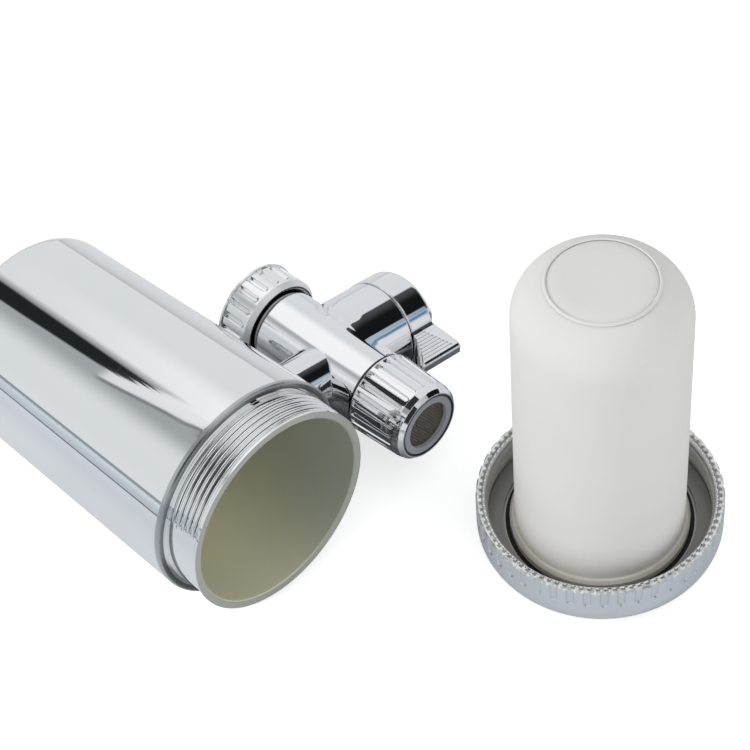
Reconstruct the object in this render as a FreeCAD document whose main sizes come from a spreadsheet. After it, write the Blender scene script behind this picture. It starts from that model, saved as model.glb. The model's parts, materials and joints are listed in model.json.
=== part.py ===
import FreeCAD, Part
import math
import os
import Sketcher

# Tap-mounted water filter, shown opened: the canister lies on its side with the
# diverter valve on its flank, and the screw cap stands beside it with the
# ceramic candle in it. Millimetres, +Z up, origin on the table under the middle
# of the whole set. +Y runs along the lying canister from its mouth to its
# closed end, +X towards the diverter and the cap.

doc = FreeCAD.newDocument("tap_water_filter")
sheet = doc.addObject("Spreadsheet::Sheet", "Sizes")

# Driving dimensions
SIZES = [
    # canister
    ("housing_radius", 34.4), ("housing_end_radius", 31.2), ("housing_length", 99.2),
    ("housing_end_round", 5.0), ("housing_wall", 2.6), ("housing_floor", 3.0), ("edge_cut", 0.5),
    ("neck_length", 12.8), ("neck_step", 3.1), ("neck_wall", 1.7), ("neck_lip", 0.7),
    ("boss_radius", 9.8), ("boss_proud", 0.8), ("boss_bore", 7.6), ("boss_port", 4.0),
    ("inlet_along", 23.0), ("seal_thick", 1.0),
    # valve body, about the crossing of the main tube and the core's axis
    ("valve_gap", 23.45), ("valve_along", 27.5), ("tube_radius", 12.3), ("tube_top", 18.8),
    ("collar_seat_radius", 11.6), ("inlet_end", 25.0), ("tube_bottom", 21.8),
    ("outlet_radius", 11.0), ("outlet_end", 28.4), ("waterway", 6.8), ("strainer_radius", 9.1),
    ("core_radius", 8.0), ("core_clear", 0.06), ("core_end", 6.3), ("core_top", 11.2),
    ("core_port", 4.6), ("chest_root", 3.6), ("chest_start", 7.8), ("chest_radius", 15.2),
    ("chest_end", 21.2), ("bush_radius", 11.0), ("bush_face", 11.6), ("bush_end", 20.8),
    ("ring_seat_radius", 5.6), ("ring_seat_one", 13.4), ("ring_seat_two", 16.8),
    ("ring_seat_width", 1.8), ("stem_radius", 4.0), ("stem_end", 28.6), ("stem_flat", 2.8),
    ("stub_offset", 4.5), ("stub_radius", 9.3), ("spigot_length", 5.0), ("port_radius", 2.8),
    # collar nut and the snap ring behind its lip
    ("collar_near", 20.6), ("collar_far", 32.4), ("collar_core_radius", 13.9),
    ("collar_bar_radius", 14.9), ("collar_flange_radius", 15.3), ("collar_thread_radius", 11.8),
    ("collar_pocket_radius", 13.0), ("snap_radius", 12.5), ("snap_along", 23.3),
    ("snap_thick", 0.8), ("collar_groove", 0.8), ("collar_bars", 21),
    # knob
    ("knob_start", 21.5), ("knob_end", 32.4), ("knob_radius", 15.4), ("knob_round", 2.4),
    ("knob_wall", 3.2), ("hub_radius", 6.4), ("cover_radius", 4.4), ("wing_root", 13.0),
    ("wing_tip", 23.4), ("wing_root_half", 7.0), ("wing_tip_half", 1.4), ("wing_side", 17.2),
    ("wing_far", 33.6), ("wing_round", 1.1), ("tip_round", 0.8), ("ridge_pitch", 0.92), ("ridge_count", 9),
    # nozzle
    ("nozzle_start", 22.0), ("nozzle_end", 42.2), ("nozzle_radius", 13.1),
    ("nozzle_low_radius", 12.4), ("nozzle_lip_radius", 10.9), ("nozzle_opening", 10.1),
    ("mesh_radius", 9.0), ("mesh_opening", 7.7), ("flute_half", 0.5), ("flute_floor", 11.9),
    ("nozzle_flutes", 24),
    # cap and candle
    ("cap_radius", 36.0), ("cap_height", 17.2), ("cap_round", 7.7), ("cap_bore", 33.1),
    ("cap_floor", 5.9), ("well_radius", 27.6), ("well_floor", 4.5), ("under_recess", 2.0),
    ("under_radius", 12.6), ("grip_width", 1.7), ("grip_depth", 0.45), ("grip_foot", 10.6),
    ("grip_count", 46), ("pipe_radius", 5.1), ("pipe_bore", 3.4), ("nut_radius", 8.4),
    ("nut_flat", 7.4), ("candle_radius", 24.8), ("candle_top", 107.1), ("candle_round", 13.8),
    ("candle_seat", 6.6), ("candle_wall", 7.5), ("base_radius", 26.3), ("base_top", 9.2),
    ("cap_x", 75.1), ("cap_y", -66.3),
]
VALUE = {}
for row, (alias, number) in enumerate(SIZES, 1):
    sheet.set("A%d" % row, alias)
    sheet.set("B%d" % row, "%g" % number)
    sheet.setAlias("B%d" % row, alias)
    VALUE[alias] = float(number)
doc.recompute()
# Lean of the walls of the grooves, in degrees
GROOVE_LEAN = 35.0
FLUTE_LEAN = 22.0
GRIP_LEAN = 45.0


class Q:
    """A length that keeps its value together with the sheet expression it comes from."""

    def __init__(self, value, text):
        self.value = float(value)
        self.text = text

    def __add__(self, other):
        other = as_q(other)
        return Q(self.value + other.value, "(%s + %s)" % (self.text, other.text))

    def __sub__(self, other):
        other = as_q(other)
        return Q(self.value - other.value, "(%s - %s)" % (self.text, other.text))

    def __radd__(self, other):
        return as_q(other) + self

    def __rsub__(self, other):
        return as_q(other) - self

    def __mul__(self, other):
        other = as_q(other)
        return Q(self.value * other.value, "(%s * %s)" % (self.text, other.text))

    def __neg__(self):
        return Q(-self.value, "(0 - %s)" % self.text)


def as_q(item):
    if isinstance(item, Q):
        return item
    return Q(item, "%g" % item)


def size(alias):
    return Q(VALUE[alias], "Sizes." + alias)


# Helpers for bodies, sketches and features
def new_body(label):
    body = doc.addObject("PartDesign::Body", label)
    body.Label = label
    return body


def origin_plane(body, role):
    for item in body.Origin.OriginFeatures:
        if item.Role == role:
            return item
    raise ValueError(role)


def attach(sketch, body, role, lift=None):
    sketch.AttachmentSupport = [(origin_plane(body, role), "")]
    sketch.MapMode = "FlatFace"
    if lift is not None:
        sketch.AttachmentOffset = FreeCAD.Placement(FreeCAD.Vector(0, 0, lift.value), FreeCAD.Rotation())
        sketch.setExpression("AttachmentOffset.Base.z", lift.text)


def outline(body, role, points, lift=None):
    """A closed straight-sided outline, each corner held by sheet expressions."""
    sketch = body.newObject("Sketcher::SketchObject", "Outline")
    attach(sketch, body, role, lift)
    corners = [(as_q(a), as_q(b)) for a, b in points]
    total = len(corners)
    for i in range(total):
        a = corners[i]
        b = corners[(i + 1) % total]
        start = FreeCAD.Vector(a[0].value, a[1].value, 0)
        end = FreeCAD.Vector(b[0].value, b[1].value, 0)
        sketch.addGeometry(Part.LineSegment(start, end), False)
    for i in range(total):
        sketch.addConstraint(Sketcher.Constraint("Coincident", i, 2, (i + 1) % total, 1))
    for i in range(total):
        for kind, q in zip(("DistanceX", "DistanceY"), corners[i]):
            index = sketch.addConstraint(Sketcher.Constraint(kind, -1, 1, i, 1, q.value))
            sketch.setExpression("Constraints[%d]" % index, q.text)
    return sketch


def disc(body, role, x, y, radius, lift=None):
    """A circle held by its centre and its radius."""
    sketch = body.newObject("Sketcher::SketchObject", "Circle")
    attach(sketch, body, role, lift)
    x = as_q(x)
    y = as_q(y)
    radius = as_q(radius)
    centre = FreeCAD.Vector(x.value, y.value, 0)
    sketch.addGeometry(Part.Circle(centre, FreeCAD.Vector(0, 0, 1), radius.value), False)
    index = sketch.addConstraint(Sketcher.Constraint("Radius", 0, radius.value))
    sketch.setExpression("Constraints[%d]" % index, radius.text)
    for kind, q in (("DistanceX", x), ("DistanceY", y)):
        index = sketch.addConstraint(Sketcher.Constraint(kind, -1, 1, 0, 3, q.value))
        sketch.setExpression("Constraints[%d]" % index, q.text)
    return sketch


def slot_outline(body, role, half, low, high, lift=None):
    """A channel outline: straight sides at +-half, a round end at low, open past high."""
    sketch = body.newObject("Sketcher::SketchObject", "Slot")
    attach(sketch, body, role, lift)
    half = as_q(half)
    low = as_q(low)
    high = as_q(high)
    w = half.value
    lo = low.value
    hi = high.value
    vec = FreeCAD.Vector
    sketch.addGeometry(Part.LineSegment(vec(w, lo, 0), vec(w, hi, 0)), False)
    sketch.addGeometry(Part.LineSegment(vec(w, hi, 0), vec(-w, hi, 0)), False)
    sketch.addGeometry(Part.LineSegment(vec(-w, hi, 0), vec(-w, lo, 0)), False)
    sign = 1 if hi > lo else -1
    start, stop = (math.pi, 2 * math.pi) if sign > 0 else (0, math.pi)
    circle = Part.Circle(vec(0, lo, 0), vec(0, 0, 1), w)
    sketch.addGeometry(Part.ArcOfCircle(circle, start, stop), False)
    left, right = (1, 2) if sign > 0 else (2, 1)
    sketch.addConstraint(Sketcher.Constraint("Coincident", 0, 2, 1, 1))
    sketch.addConstraint(Sketcher.Constraint("Coincident", 1, 2, 2, 1))
    sketch.addConstraint(Sketcher.Constraint("Coincident", 2, 2, 3, left))
    sketch.addConstraint(Sketcher.Constraint("Coincident", 3, right, 0, 1))
    sketch.addConstraint(Sketcher.Constraint("PointOnObject", 3, 3, -2))
    sketch.addConstraint(Sketcher.Constraint("Horizontal", 1))
    sketch.addConstraint(Sketcher.Constraint("Vertical", 0))
    sketch.addConstraint(Sketcher.Constraint("Vertical", 2))
    held = (("DistanceX", 0, 1, half), ("DistanceY", 0, 1, low), ("DistanceY", 0, 2, high),
            ("DistanceY", 3, 3, low), ("DistanceY", 2, 2, low))
    for kind, geo, pos, q in held:
        index = sketch.addConstraint(Sketcher.Constraint(kind, -1, 1, geo, pos, q.value))
        sketch.setExpression("Constraints[%d]" % index, q.text)
    return sketch


def turned(body, points, axis="V_Axis", role="XY_Plane", cut=False):
    """A turned feature: the outline spun about the sketch's own axis."""
    sketch = outline(body, role, points)
    kind = "PartDesign::Groove" if cut else "PartDesign::Revolution"
    feature = body.newObject(kind, "Turned")
    feature.Profile = sketch
    feature.ReferenceAxis = (sketch, [axis])
    feature.Angle = 360.0
    sketch.Visibility = False
    return feature


def pad(body, sketch, length, midplane=False, reverse=False):
    feature = body.newObject("PartDesign::Pad", "Pad")
    feature.Profile = sketch
    feature.Length = as_q(length).value
    feature.setExpression("Length", as_q(length).text)
    if midplane:
        feature.Midplane = True
    feature.Reversed = reverse
    return feature


def pocket(body, sketch, length, midplane=False, reverse=False):
    feature = body.newObject("PartDesign::Pocket", "Pocket")
    feature.Profile = sketch
    feature.Length = as_q(length).value
    feature.setExpression("Length", as_q(length).text)
    if midplane:
        feature.Midplane = True
    feature.Reversed = reverse
    return feature


def sloped(pocket_made, degrees):
    """Leans the walls of a pocket outwards from its floor."""
    pocket_made.TaperAngle = degrees
    return pocket_made


def around(body, feature, sketch_axis, count):
    pattern = body.newObject("PartDesign::PolarPattern", "Around")
    pattern.Originals = [feature]
    pattern.Axis = sketch_axis
    pattern.Angle = 360.0
    pattern.Occurrences = int(count.value)
    pattern.setExpression("Occurrences", count.text)
    body.Tip = pattern
    return pattern


def body_axis(body, role):
    for item in body.Origin.OriginFeatures:
        if item.Role == role:
            return (item, [""])
    raise ValueError(role)


def round_edges(body, radius, wanted):
    """Rounds the edges of the tip for which wanted(edge) is true."""
    doc.recompute()
    base = body.Tip
    names = []
    for i, edge in enumerate(base.Shape.Edges, 1):
        if wanted(edge):
            names.append("Edge%d" % i)
    if not names:
        raise ValueError("no edge to round on " + body.Label)
    feature = body.newObject("PartDesign::Fillet", "Rounding")
    feature.Base = (base, names)
    feature.Radius = as_q(radius).value
    feature.setExpression("Radius", as_q(radius).text)
    body.Tip = feature
    doc.recompute()
    return feature


def ring_at(axis, along, radius, tol=0.02):
    """A test for a full circle about an axis letter, at a height and a radius."""
    along = as_q(along).value
    radius = as_q(radius).value

    def test(edge):
        curve = edge.Curve
        if not isinstance(curve, Part.Circle):
            return False
        if abs(curve.Radius - radius) > tol:
            return False
        centre = curve.Center
        place = {"x": centre.x, "y": centre.y, "z": centre.z}
        off = [abs(v) for k, v in place.items() if k != axis]
        return abs(place[axis] - along) < tol and max(off) < tol
    return test


def checked_cut(body, feature):
    """Sets a cut going the way that takes material away."""
    doc.recompute()
    before = feature.BaseFeature.Shape.Volume
    if feature.Shape.isNull() or feature.Shape.Volume > before - 1e-3:
        feature.Reversed = not feature.Reversed
        doc.recompute()
    if feature.Shape.Volume > before - 1e-3:
        raise ValueError("a cut takes nothing away on " + body.Label)
    return feature


# Placements
# The canister rests along its lowest line, and the edge of the knob touches the
# table: this sets the lean of the valve about the canister's axis.
boss_face = size("housing_radius") + size("boss_proud")
valve_reach = boss_face + size("valve_gap")
edge_cut = VALUE["edge_cut"]
narrowing = VALUE["housing_radius"] - VALUE["housing_end_radius"]
taper = math.atan(narrowing / (VALUE["housing_length"] - edge_cut))
rest_height = VALUE["housing_radius"] * math.cos(taper) + edge_cut * math.sin(taper)
reach = valve_reach.value + VALUE["knob_end"] - VALUE["knob_round"]
drop = VALUE["knob_radius"] - VALUE["knob_round"]
level = rest_height - VALUE["valve_along"] * math.sin(taper) - VALUE["knob_round"]
dip = math.asin(level / math.hypot(reach, drop)) - math.atan2(drop, reach)
lean = math.asin(math.sin(dip) / math.cos(taper))

end_radius = VALUE["housing_end_radius"] - VALUE["housing_end_round"]
end_along = VALUE["housing_length"] - VALUE["housing_end_round"]
far_y = end_along * math.cos(taper) + end_radius * math.sin(taper) + VALUE["housing_end_round"]
near_y = VALUE["cap_y"] - VALUE["cap_radius"]
middle_x = (VALUE["cap_x"] + VALUE["cap_radius"] - VALUE["housing_radius"]) / 2
middle_y = (far_y + near_y) / 2

turn = FreeCAD.Rotation(FreeCAD.Vector(1, 0, 0), -math.degrees(taper))
turn = turn.multiply(FreeCAD.Rotation(FreeCAD.Vector(0, 1, 0), math.degrees(lean)))
CANISTER = FreeCAD.Placement(FreeCAD.Vector(-middle_x, -middle_y, rest_height), turn)
crossing = FreeCAD.Vector(valve_reach.value, VALUE["valve_along"], 0)
VALVE = CANISTER.multiply(FreeCAD.Placement(crossing, FreeCAD.Rotation()))
CAP = FreeCAD.Placement(
    FreeCAD.Vector(VALUE["cap_x"] - middle_x, VALUE["cap_y"] - middle_y, 0), FreeCAD.Rotation())

NODES = []


def keep(body, placement):
    doc.recompute()
    body.Placement = placement
    NODES.append(body)
    return body


# Canister
# One moulding: a slightly tapering can, closed at the narrow end, with a turned
# neck at the mouth and an inlet boss on its flank. The neck is at its thread's root.
housing = new_body("housing")
R = size("housing_radius")
E = size("housing_end_radius")
L = size("housing_length")
N = size("neck_length")
cut = size("edge_cut")
neck = R - size("neck_step")
lip = neck + size("neck_lip")
bore_mouth = neck - size("neck_wall")
bore_end = E - size("housing_wall")
turned(housing, [
    (0, L), (0, L - size("housing_floor")), (bore_end, L - size("housing_floor")),
    (bore_mouth, cut - N), (bore_mouth + cut, -N), (lip, -N), (lip, -N + cut * 1.8),
    (neck, -N + cut * 3), (neck, 0), (R - cut, 0), (R, cut), (E, L)])
round_edges(housing, size("housing_end_round"), ring_at("y", L, E))
boss_depth = size("housing_wall") * 2
boss = disc(housing, "YZ_Plane", size("inlet_along"), 0, size("boss_radius"), boss_face)
pad(housing, boss, boss_depth, reverse=True)
bore = disc(housing, "YZ_Plane", size("inlet_along"), 0, size("boss_bore"), boss_face)
checked_cut(housing, pocket(housing, bore, boss_depth - size("seal_thick")))
port = disc(housing, "YZ_Plane", size("inlet_along"), 0, size("boss_port"), boss_face)
checked_cut(housing, pocket(housing, port, boss_depth * 2))
keep(housing, CANISTER)

# Flat rubber ring between the boss and the shoulder of the valve's stub.
stub_seal = new_body("stub_seal")
seal_in = size("boss_bore") + 0.1
seal_out = size("stub_radius") - 0.1
turned(stub_seal, [
    (seal_in, -size("seal_thick")), (seal_out, -size("seal_thick")), (seal_out, 0), (seal_in, 0)])
seal_turn = FreeCAD.Rotation(FreeCAD.Vector(0, 0, 1), -90)
seal_base = FreeCAD.Vector(boss_face.value + VALUE["seal_thick"], VALUE["inlet_along"], 0)
keep(stub_seal, CANISTER.multiply(FreeCAD.Placement(seal_base, seal_turn)))

# Valve body: a cross of tubes with a cored chest
valve = new_body("valve_body")
T = size("tube_radius")
C = size("chest_radius")
seat_step = T - size("collar_seat_radius")
turned(valve, [
    (0, -size("outlet_end")), (size("outlet_radius"), -size("outlet_end")),
    (size("outlet_radius"), -size("tube_bottom")), (T, -size("tube_bottom")),
    (T, size("tube_top")), (size("collar_seat_radius"), size("tube_top") + seat_step),
    (size("collar_seat_radius"), size("inlet_end")), (0, size("inlet_end"))])
# the chest swells out of the tube in four short steps
swell = C - T * 0.88
run = size("chest_start") - size("chest_root")
turned(valve, [
    (0, 0), (0, T * 0.88), (size("chest_root"), T * 0.88),
    (size("chest_root") + run * 0.24, T * 0.88 + swell * 0.48),
    (size("chest_root") + run * 0.52, T * 0.88 + swell * 0.79),
    (size("chest_root") + run * 0.78, T * 0.88 + swell * 0.95), (size("chest_start"), C),
    (size("chest_end"), C), (size("chest_end"), 0)], axis="H_Axis")
stub_face = size("valve_gap") - size("seal_thick")
stub = disc(valve, "YZ_Plane", -size("stub_offset"), 0, size("stub_radius"), -stub_face)
pad(valve, stub, stub_face - 2.0)
spigot_face = stub_face + size("spigot_length")
spigot = disc(valve, "YZ_Plane", -size("stub_offset"), 0, size("boss_bore"), -spigot_face)
pad(valve, spigot, size("spigot_length") + 1.0)
# a stepped bore in the chest for the core and its bush
K = size("core_radius") + size("core_clear")
core_stop = size("core_end") + 0.2
turned(valve, [
    (-core_stop, 0), (-core_stop, K), (size("bush_face"), K), (size("bush_face"), size("bush_radius")),
    (size("chest_end") + 1, size("bush_radius")), (size("chest_end") + 1, 0)], axis="H_Axis", cut=True)
# waterways: inlet from above with the strainer's seat, outlet below
W = size("waterway")
strainer_seat = size("strainer_radius") + 0.3
turned(valve, [
    (0, 4.0), (W, 4.0), (W, size("inlet_end") - 0.8), (strainer_seat, size("inlet_end") - 0.8),
    (strainer_seat, size("inlet_end") + 1), (0, size("inlet_end") + 1)], cut=True)
turned(valve, [
    (0, -4.0), (W, -4.0), (W, -size("outlet_end") - 1), (0, -size("outlet_end") - 1)], cut=True)
# side port to the canister, with the seat of its seal ring
port = disc(valve, "YZ_Plane", -size("stub_offset"), 0, size("port_radius"), -spigot_face - 1)
checked_cut(valve, pocket(valve, port, spigot_face + 1 - size("core_end") + 0.2, reverse=True))
port_seat = size("port_radius") + 1.4
seat = disc(valve, "YZ_Plane", -size("stub_offset"), 0, port_seat, -size("core_end") - 1.1)
checked_cut(valve, pocket(valve, seat, 1.0, reverse=True))
# groove of the snap ring that holds the collar on
groove_in = size("collar_seat_radius") - 0.8
groove_out = size("collar_seat_radius") + 1
snap_end = size("snap_along") + size("snap_thick")
turned(valve, [
    (groove_in, size("snap_along")), (groove_out, size("snap_along")), (groove_out, snap_end),
    (groove_in, snap_end)], cut=True)
keep(valve, VALVE)

# Pieces in the valve
# Core: a round plug with a T of waterways and an end port set off its axis. At rest
# it passes inlet to outlet; a quarter turn leads the inlet to the canister instead.
core = new_body("valve_core")
turned(core, [
    (-size("core_end"), 0), (-size("core_end"), size("core_radius")),
    (size("core_top"), size("core_radius")), (size("core_top"), size("stem_radius")),
    (size("stem_end"), size("stem_radius")), (size("stem_end"), 0)], axis="H_Axis")
through = disc(core, "XZ_Plane", 0, 0, size("core_port"))
checked_cut(core, pocket(core, through, size("core_radius") * 2.5, midplane=True))
tee = disc(core, "XY_Plane", 0, 0, size("core_port"))
checked_cut(core, pocket(core, tee, size("core_radius") + 1, reverse=True))
end_port = disc(core, "YZ_Plane", 0, -size("stub_offset"), size("port_radius"), -size("core_end") - 1)
checked_cut(core, pocket(core, end_port, size("core_end") + 1, reverse=True))
flat_from = size("chest_end") - 0.2
for side in (1, -1):
    low = size("stem_flat") * side
    high = (size("stem_radius") + 1) * side
    flat = outline(core, "XZ_Plane", [
        (flat_from, low), (size("stem_end") + 1, low), (size("stem_end") + 1, high), (flat_from, high)])
    checked_cut(core, pocket(core, flat, size("stem_radius") * 3, midplane=True))
screw_hole = disc(core, "YZ_Plane", 0, 0, 1.5, size("stem_end") - 7.0)
checked_cut(core, pocket(core, screw_hole, 10.0, reverse=True))
keep(core, VALVE)

# Seal ring around the side port.
port_seal = new_body("port_seal")
seal_in = size("port_radius") + 0.15
seal_out = size("port_radius") + 1.25
turned(port_seal, [(seal_in, 0), (seal_out, 0), (seal_out, 1.0), (seal_in, 1.0)])
seal_base = FreeCAD.Vector(-VALUE["core_end"] - 0.1, -VALUE["stub_offset"], 0)
seal_turn = FreeCAD.Rotation(FreeCAD.Vector(0, 0, 1), 90)
keep(port_seal, VALVE.multiply(FreeCAD.Placement(seal_base, seal_turn)))

# Bush that closes the chest and guides the stem, with two ring grooves.
bush = new_body("stem_bush")
S = size("stem_radius") + size("core_clear")
turned(bush, [
    (size("bush_face"), S), (size("bush_face"), size("bush_radius")),
    (size("bush_end"), size("bush_radius")), (size("bush_end"), S)], axis="H_Axis")
for start in (size("ring_seat_one"), size("ring_seat_two")):
    stop = start + size("ring_seat_width")
    turned(bush, [
        (start, S - 0.5), (start, size("ring_seat_radius")), (stop, size("ring_seat_radius")),
        (stop, S - 0.5)], axis="H_Axis", cut=True)
keep(bush, VALVE)

# Two rubber rings on the stem, each a six-sided section spun about it.
rings = doc.addObject("Part::Feature", "stem_rings")
rings.Label = "stem_rings"
ring_half = (VALUE["ring_seat_radius"] - VALUE["stem_radius"] - 0.2) / 2
ring_mid = VALUE["stem_radius"] + 0.1 + ring_half
ring_set = []
for start in (VALUE["ring_seat_one"], VALUE["ring_seat_two"]):
    middle = start + VALUE["ring_seat_width"] / 2
    section = []
    for k in range(7):
        angle = math.radians(60 * k)
        along = middle + ring_half * math.cos(angle)
        section.append(FreeCAD.Vector(along, ring_mid + ring_half * math.sin(angle), 0))
    face = Part.Face(Part.makePolygon(section))
    ring_set.append(face.revolve(FreeCAD.Vector(0, 0, 0), FreeCAD.Vector(1, 0, 0), 360))
rings.Shape = Part.makeCompound(ring_set)
keep(rings, VALVE)

# Collar nut, with grooves between its bars, a lip behind the snap ring and a relief
# for the washer below the thread, which is at its root
collar = new_body("collar_nut")
G = size("collar_core_radius")
lip_bore = size("collar_seat_radius") + size("core_clear")
near = size("collar_near")
far = size("collar_far")
flange_near = far - 0.8
thread = size("collar_thread_radius")
washer_top = size("inlet_end") + 1.7
pocket_far = snap_end + 0.5
turned(collar, [
    (lip_bore + 1.4, near), (G - 0.3, near), (size("collar_bar_radius"), near + 1.4),
    (size("collar_bar_radius"), flange_near), (size("collar_flange_radius"), flange_near),
    (size("collar_flange_radius"), far), (thread + 0.5, far), (thread, far - 0.5),
    (thread, washer_top + 0.2), (size("snap_radius") - 0.1, washer_top + 0.2),
    (size("snap_radius") - 0.1, pocket_far), (size("collar_pocket_radius"), pocket_far),
    (size("collar_pocket_radius"), size("snap_along") - 0.2), (lip_bore, size("snap_along") - 0.2),
    (lip_bore, near + 1.2)])
above = size("collar_bar_radius") + 0.1
lean_run = (above - G) * math.tan(math.radians(GROOVE_LEAN))
gap_half = size("collar_groove") * 0.5 + lean_run
gap = slot_outline(collar, "XY_Plane", gap_half, near + 2.3 + gap_half, flange_near, above)
gap_cut = pocket(collar, gap, above - G)
checked_cut(collar, sloped(gap_cut, -GROOVE_LEAN))
around(collar, gap_cut, body_axis(collar, "Y_Axis"), size("collar_bars"))
keep(collar, VALVE)

# Split snap ring, sprung into its groove on the tube behind the collar's lip.
snap = new_body("snap_ring")
snap_in = size("collar_seat_radius") - 0.75
snap_out = size("snap_radius")
snap_low = size("snap_along") + 0.05
snap_high = snap_end - 0.05
turned(snap, [(snap_in, snap_low), (snap_out, snap_low), (snap_out, snap_high), (snap_in, snap_high)])
split = outline(snap, "XY_Plane", [
    (snap_in - 2, snap_low - 1), (snap_out + 2, snap_low - 1), (snap_out + 2, snap_high + 1),
    (snap_in - 2, snap_high + 1)])
checked_cut(snap, pocket(snap, split, 3.0, midplane=True))
keep(snap, VALVE)

# Strainer: a thin disc with a ring of holes, lying in the inlet's counterbore.
strainer = new_body("inlet_strainer")
turned(strainer, [(0, 0), (size("strainer_radius"), 0), (size("strainer_radius"), 0.6), (0, 0.6)])
hole = disc(strainer, "XZ_Plane", size("strainer_radius") * 0.55, 0, 1.4)
hole_cut = pocket(strainer, hole, 4.0, midplane=True)
checked_cut(strainer, hole_cut)
around(strainer, hole_cut, body_axis(strainer, "Y_Axis"), Q(8, "8"))
strainer_base = FreeCAD.Vector(0, VALUE["inlet_end"] - 0.7, 0)
keep(strainer, VALVE.multiply(FreeCAD.Placement(strainer_base, FreeCAD.Rotation())))

# Rubber washer that the tap presses on.
washer = new_body("inlet_washer")
washer_in = W + 0.5
washer_out = thread - 0.2
turned(washer, [
    (washer_in, size("inlet_end")), (washer_out, size("inlet_end")), (washer_out, washer_top),
    (washer_in, washer_top)])
keep(washer, VALVE)

# Knob
# A round cap with a ridged wing: the wing is a wedge in section and flares
# towards its tip, and ridges run across its upper flank.
knob = new_body("knob")
KR = size("knob_radius")
ks = size("knob_start")
ke = size("knob_end")
cover_seat = ke - 2.2
ceiling = ke - size("knob_wall")
H = size("hub_radius")
hollow = KR - size("knob_wall")
turned(knob, [
    (ks, hollow), (ks, KR), (ke, KR), (ke, size("cover_radius")), (cover_seat, size("cover_radius")),
    (cover_seat, 1.7), (ke - 3.6, 1.7), (ke - 3.6, size("stem_radius")),
    (ks + 0.6, size("stem_radius")), (ks + 0.6, H), (ceiling, H), (ceiling, hollow)], axis="H_Axis")
round_edges(knob, size("knob_round"), ring_at("x", ke, KR))
tip = size("wing_tip")
side_x = size("wing_side")
far_x = size("wing_far")
wing = outline(knob, "YZ_Plane", [
    (-size("wing_root"), size("wing_root_half")), (-size("wing_root"), -size("wing_root_half")),
    (-tip, -size("wing_tip_half")), (-tip, size("wing_tip_half"))], side_x)
pad(knob, wing, far_x - side_x)
# the wing's sides draw in from the tip to the root, clear of the chest
inner = size("wing_root") - 1
trim = outline(knob, "XY_Plane", [
    (side_x - 1, -inner), (ks, -inner), (ks, -KR - 0.5), (side_x, -tip + 1.6), (side_x, -tip - 1),
    (side_x - 1, -tip - 1)])
checked_cut(knob, pocket(knob, trim, size("wing_root_half") * 3, midplane=True))
trim = outline(knob, "XY_Plane", [
    (far_x + 1, -inner), (cover_seat, -inner), (cover_seat, 1 - KR), (far_x, -tip + 1.6),
    (far_x, -tip - 1), (far_x + 1, -tip - 1)])
checked_cut(knob, pocket(knob, trim, size("wing_root_half") * 3, midplane=True))
# flats that key the hub on the stem
for side in (1, -1):
    key_low = size("stem_flat") * side
    key_high = (size("stem_radius") + 0.6) * side
    key = outline(knob, "XZ_Plane", [
        (ks + 0.6, key_low), (ke - 3.4, key_low), (ke - 3.4, key_high), (ks + 0.6, key_high)])
    pad(knob, key, size("stem_radius") * 1.4, midplane=True)
# rounded edges down the wing's side beside the valve, then across its tip
wing_run = VALUE["wing_tip"] - VALUE["wing_root"]
slope = (VALUE["wing_root_half"] - VALUE["wing_tip_half"]) / wing_run


def side_edge(edge):
    """True for the two edges between the wing's flanks and its side by the valve."""
    if len(edge.Vertexes) != 2 or not isinstance(edge.Curve, Part.Line):
        return False
    for vertex in edge.Vertexes:
        point = vertex.Point
        flank = VALUE["wing_tip_half"] + (point.y + VALUE["wing_tip"]) * slope
        if point.y > 0 or abs(abs(point.z) - flank) > 0.02:
            return False
    a, b = [vertex.Point for vertex in edge.Vertexes]
    return min(a.x, b.x) < VALUE["wing_side"] + 0.02 and abs(a.y - b.y) > 2.0


def tip_edge(edge):
    """True for the two long edges of the wing's tip."""
    if len(edge.Vertexes) != 2 or not isinstance(edge.Curve, Part.Line):
        return False
    a, b = [vertex.Point for vertex in edge.Vertexes]
    at_tip = max(abs(a.y + VALUE["wing_tip"]), abs(b.y + VALUE["wing_tip"])) < 0.02
    return at_tip and abs(a.x - b.x) > 2.0


round_edges(knob, size("wing_round"), side_edge)
round_edges(knob, size("tip_round"), tip_edge)
# ridges: narrow grooves across the upper flank, parallel to the stem, longest at the tip
for i in range(int(VALUE["ridge_count"])):
    back = size("ridge_pitch") * i + 1.6
    y = back - tip
    z = size("wing_tip_half") + back * slope
    groove = outline(knob, "YZ_Plane", [
        (y - 0.3, z + 1.2), (y + 0.3, z + 1.2), (y + 0.3, z - 0.3), (y - 0.3, z - 0.6)],
        side_x + 1.9 + 0.4 * i)
    checked_cut(knob, pocket(knob, groove, (far_x - side_x) * 0.74 - 1.15 * i, reverse=True))
keep(knob, VALVE)

# Screw that fixes the knob to the stem, and the disc that hides it.
screw = new_body("knob_screw")
turned(screw, [
    (ke - 8.5, 0), (ke - 8.5, 1.45), (cover_seat, 1.45), (cover_seat, 2.9), (ke - 1.4, 2.5),
    (ke - 1.1, 1.6), (ke - 1.1, 0)], axis="H_Axis")
for half_y, half_z in ((0.28, 1.5), (1.5, 0.28)):
    cross = outline(screw, "YZ_Plane", [
        (-half_y, -half_z), (half_y, -half_z), (half_y, half_z), (-half_y, half_z)], ke - 1.8)
    checked_cut(screw, pocket(screw, cross, 2.0, reverse=True))
keep(screw, VALVE)

cover = new_body("knob_cover")
turned(cover, [
    (ke - 0.9, 0), (ke - 0.9, size("cover_radius")), (ke - 0.2, size("cover_radius")),
    (ke, size("cover_radius") - 0.4), (ke, 0)], axis="H_Axis")
keep(cover, VALVE)

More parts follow.
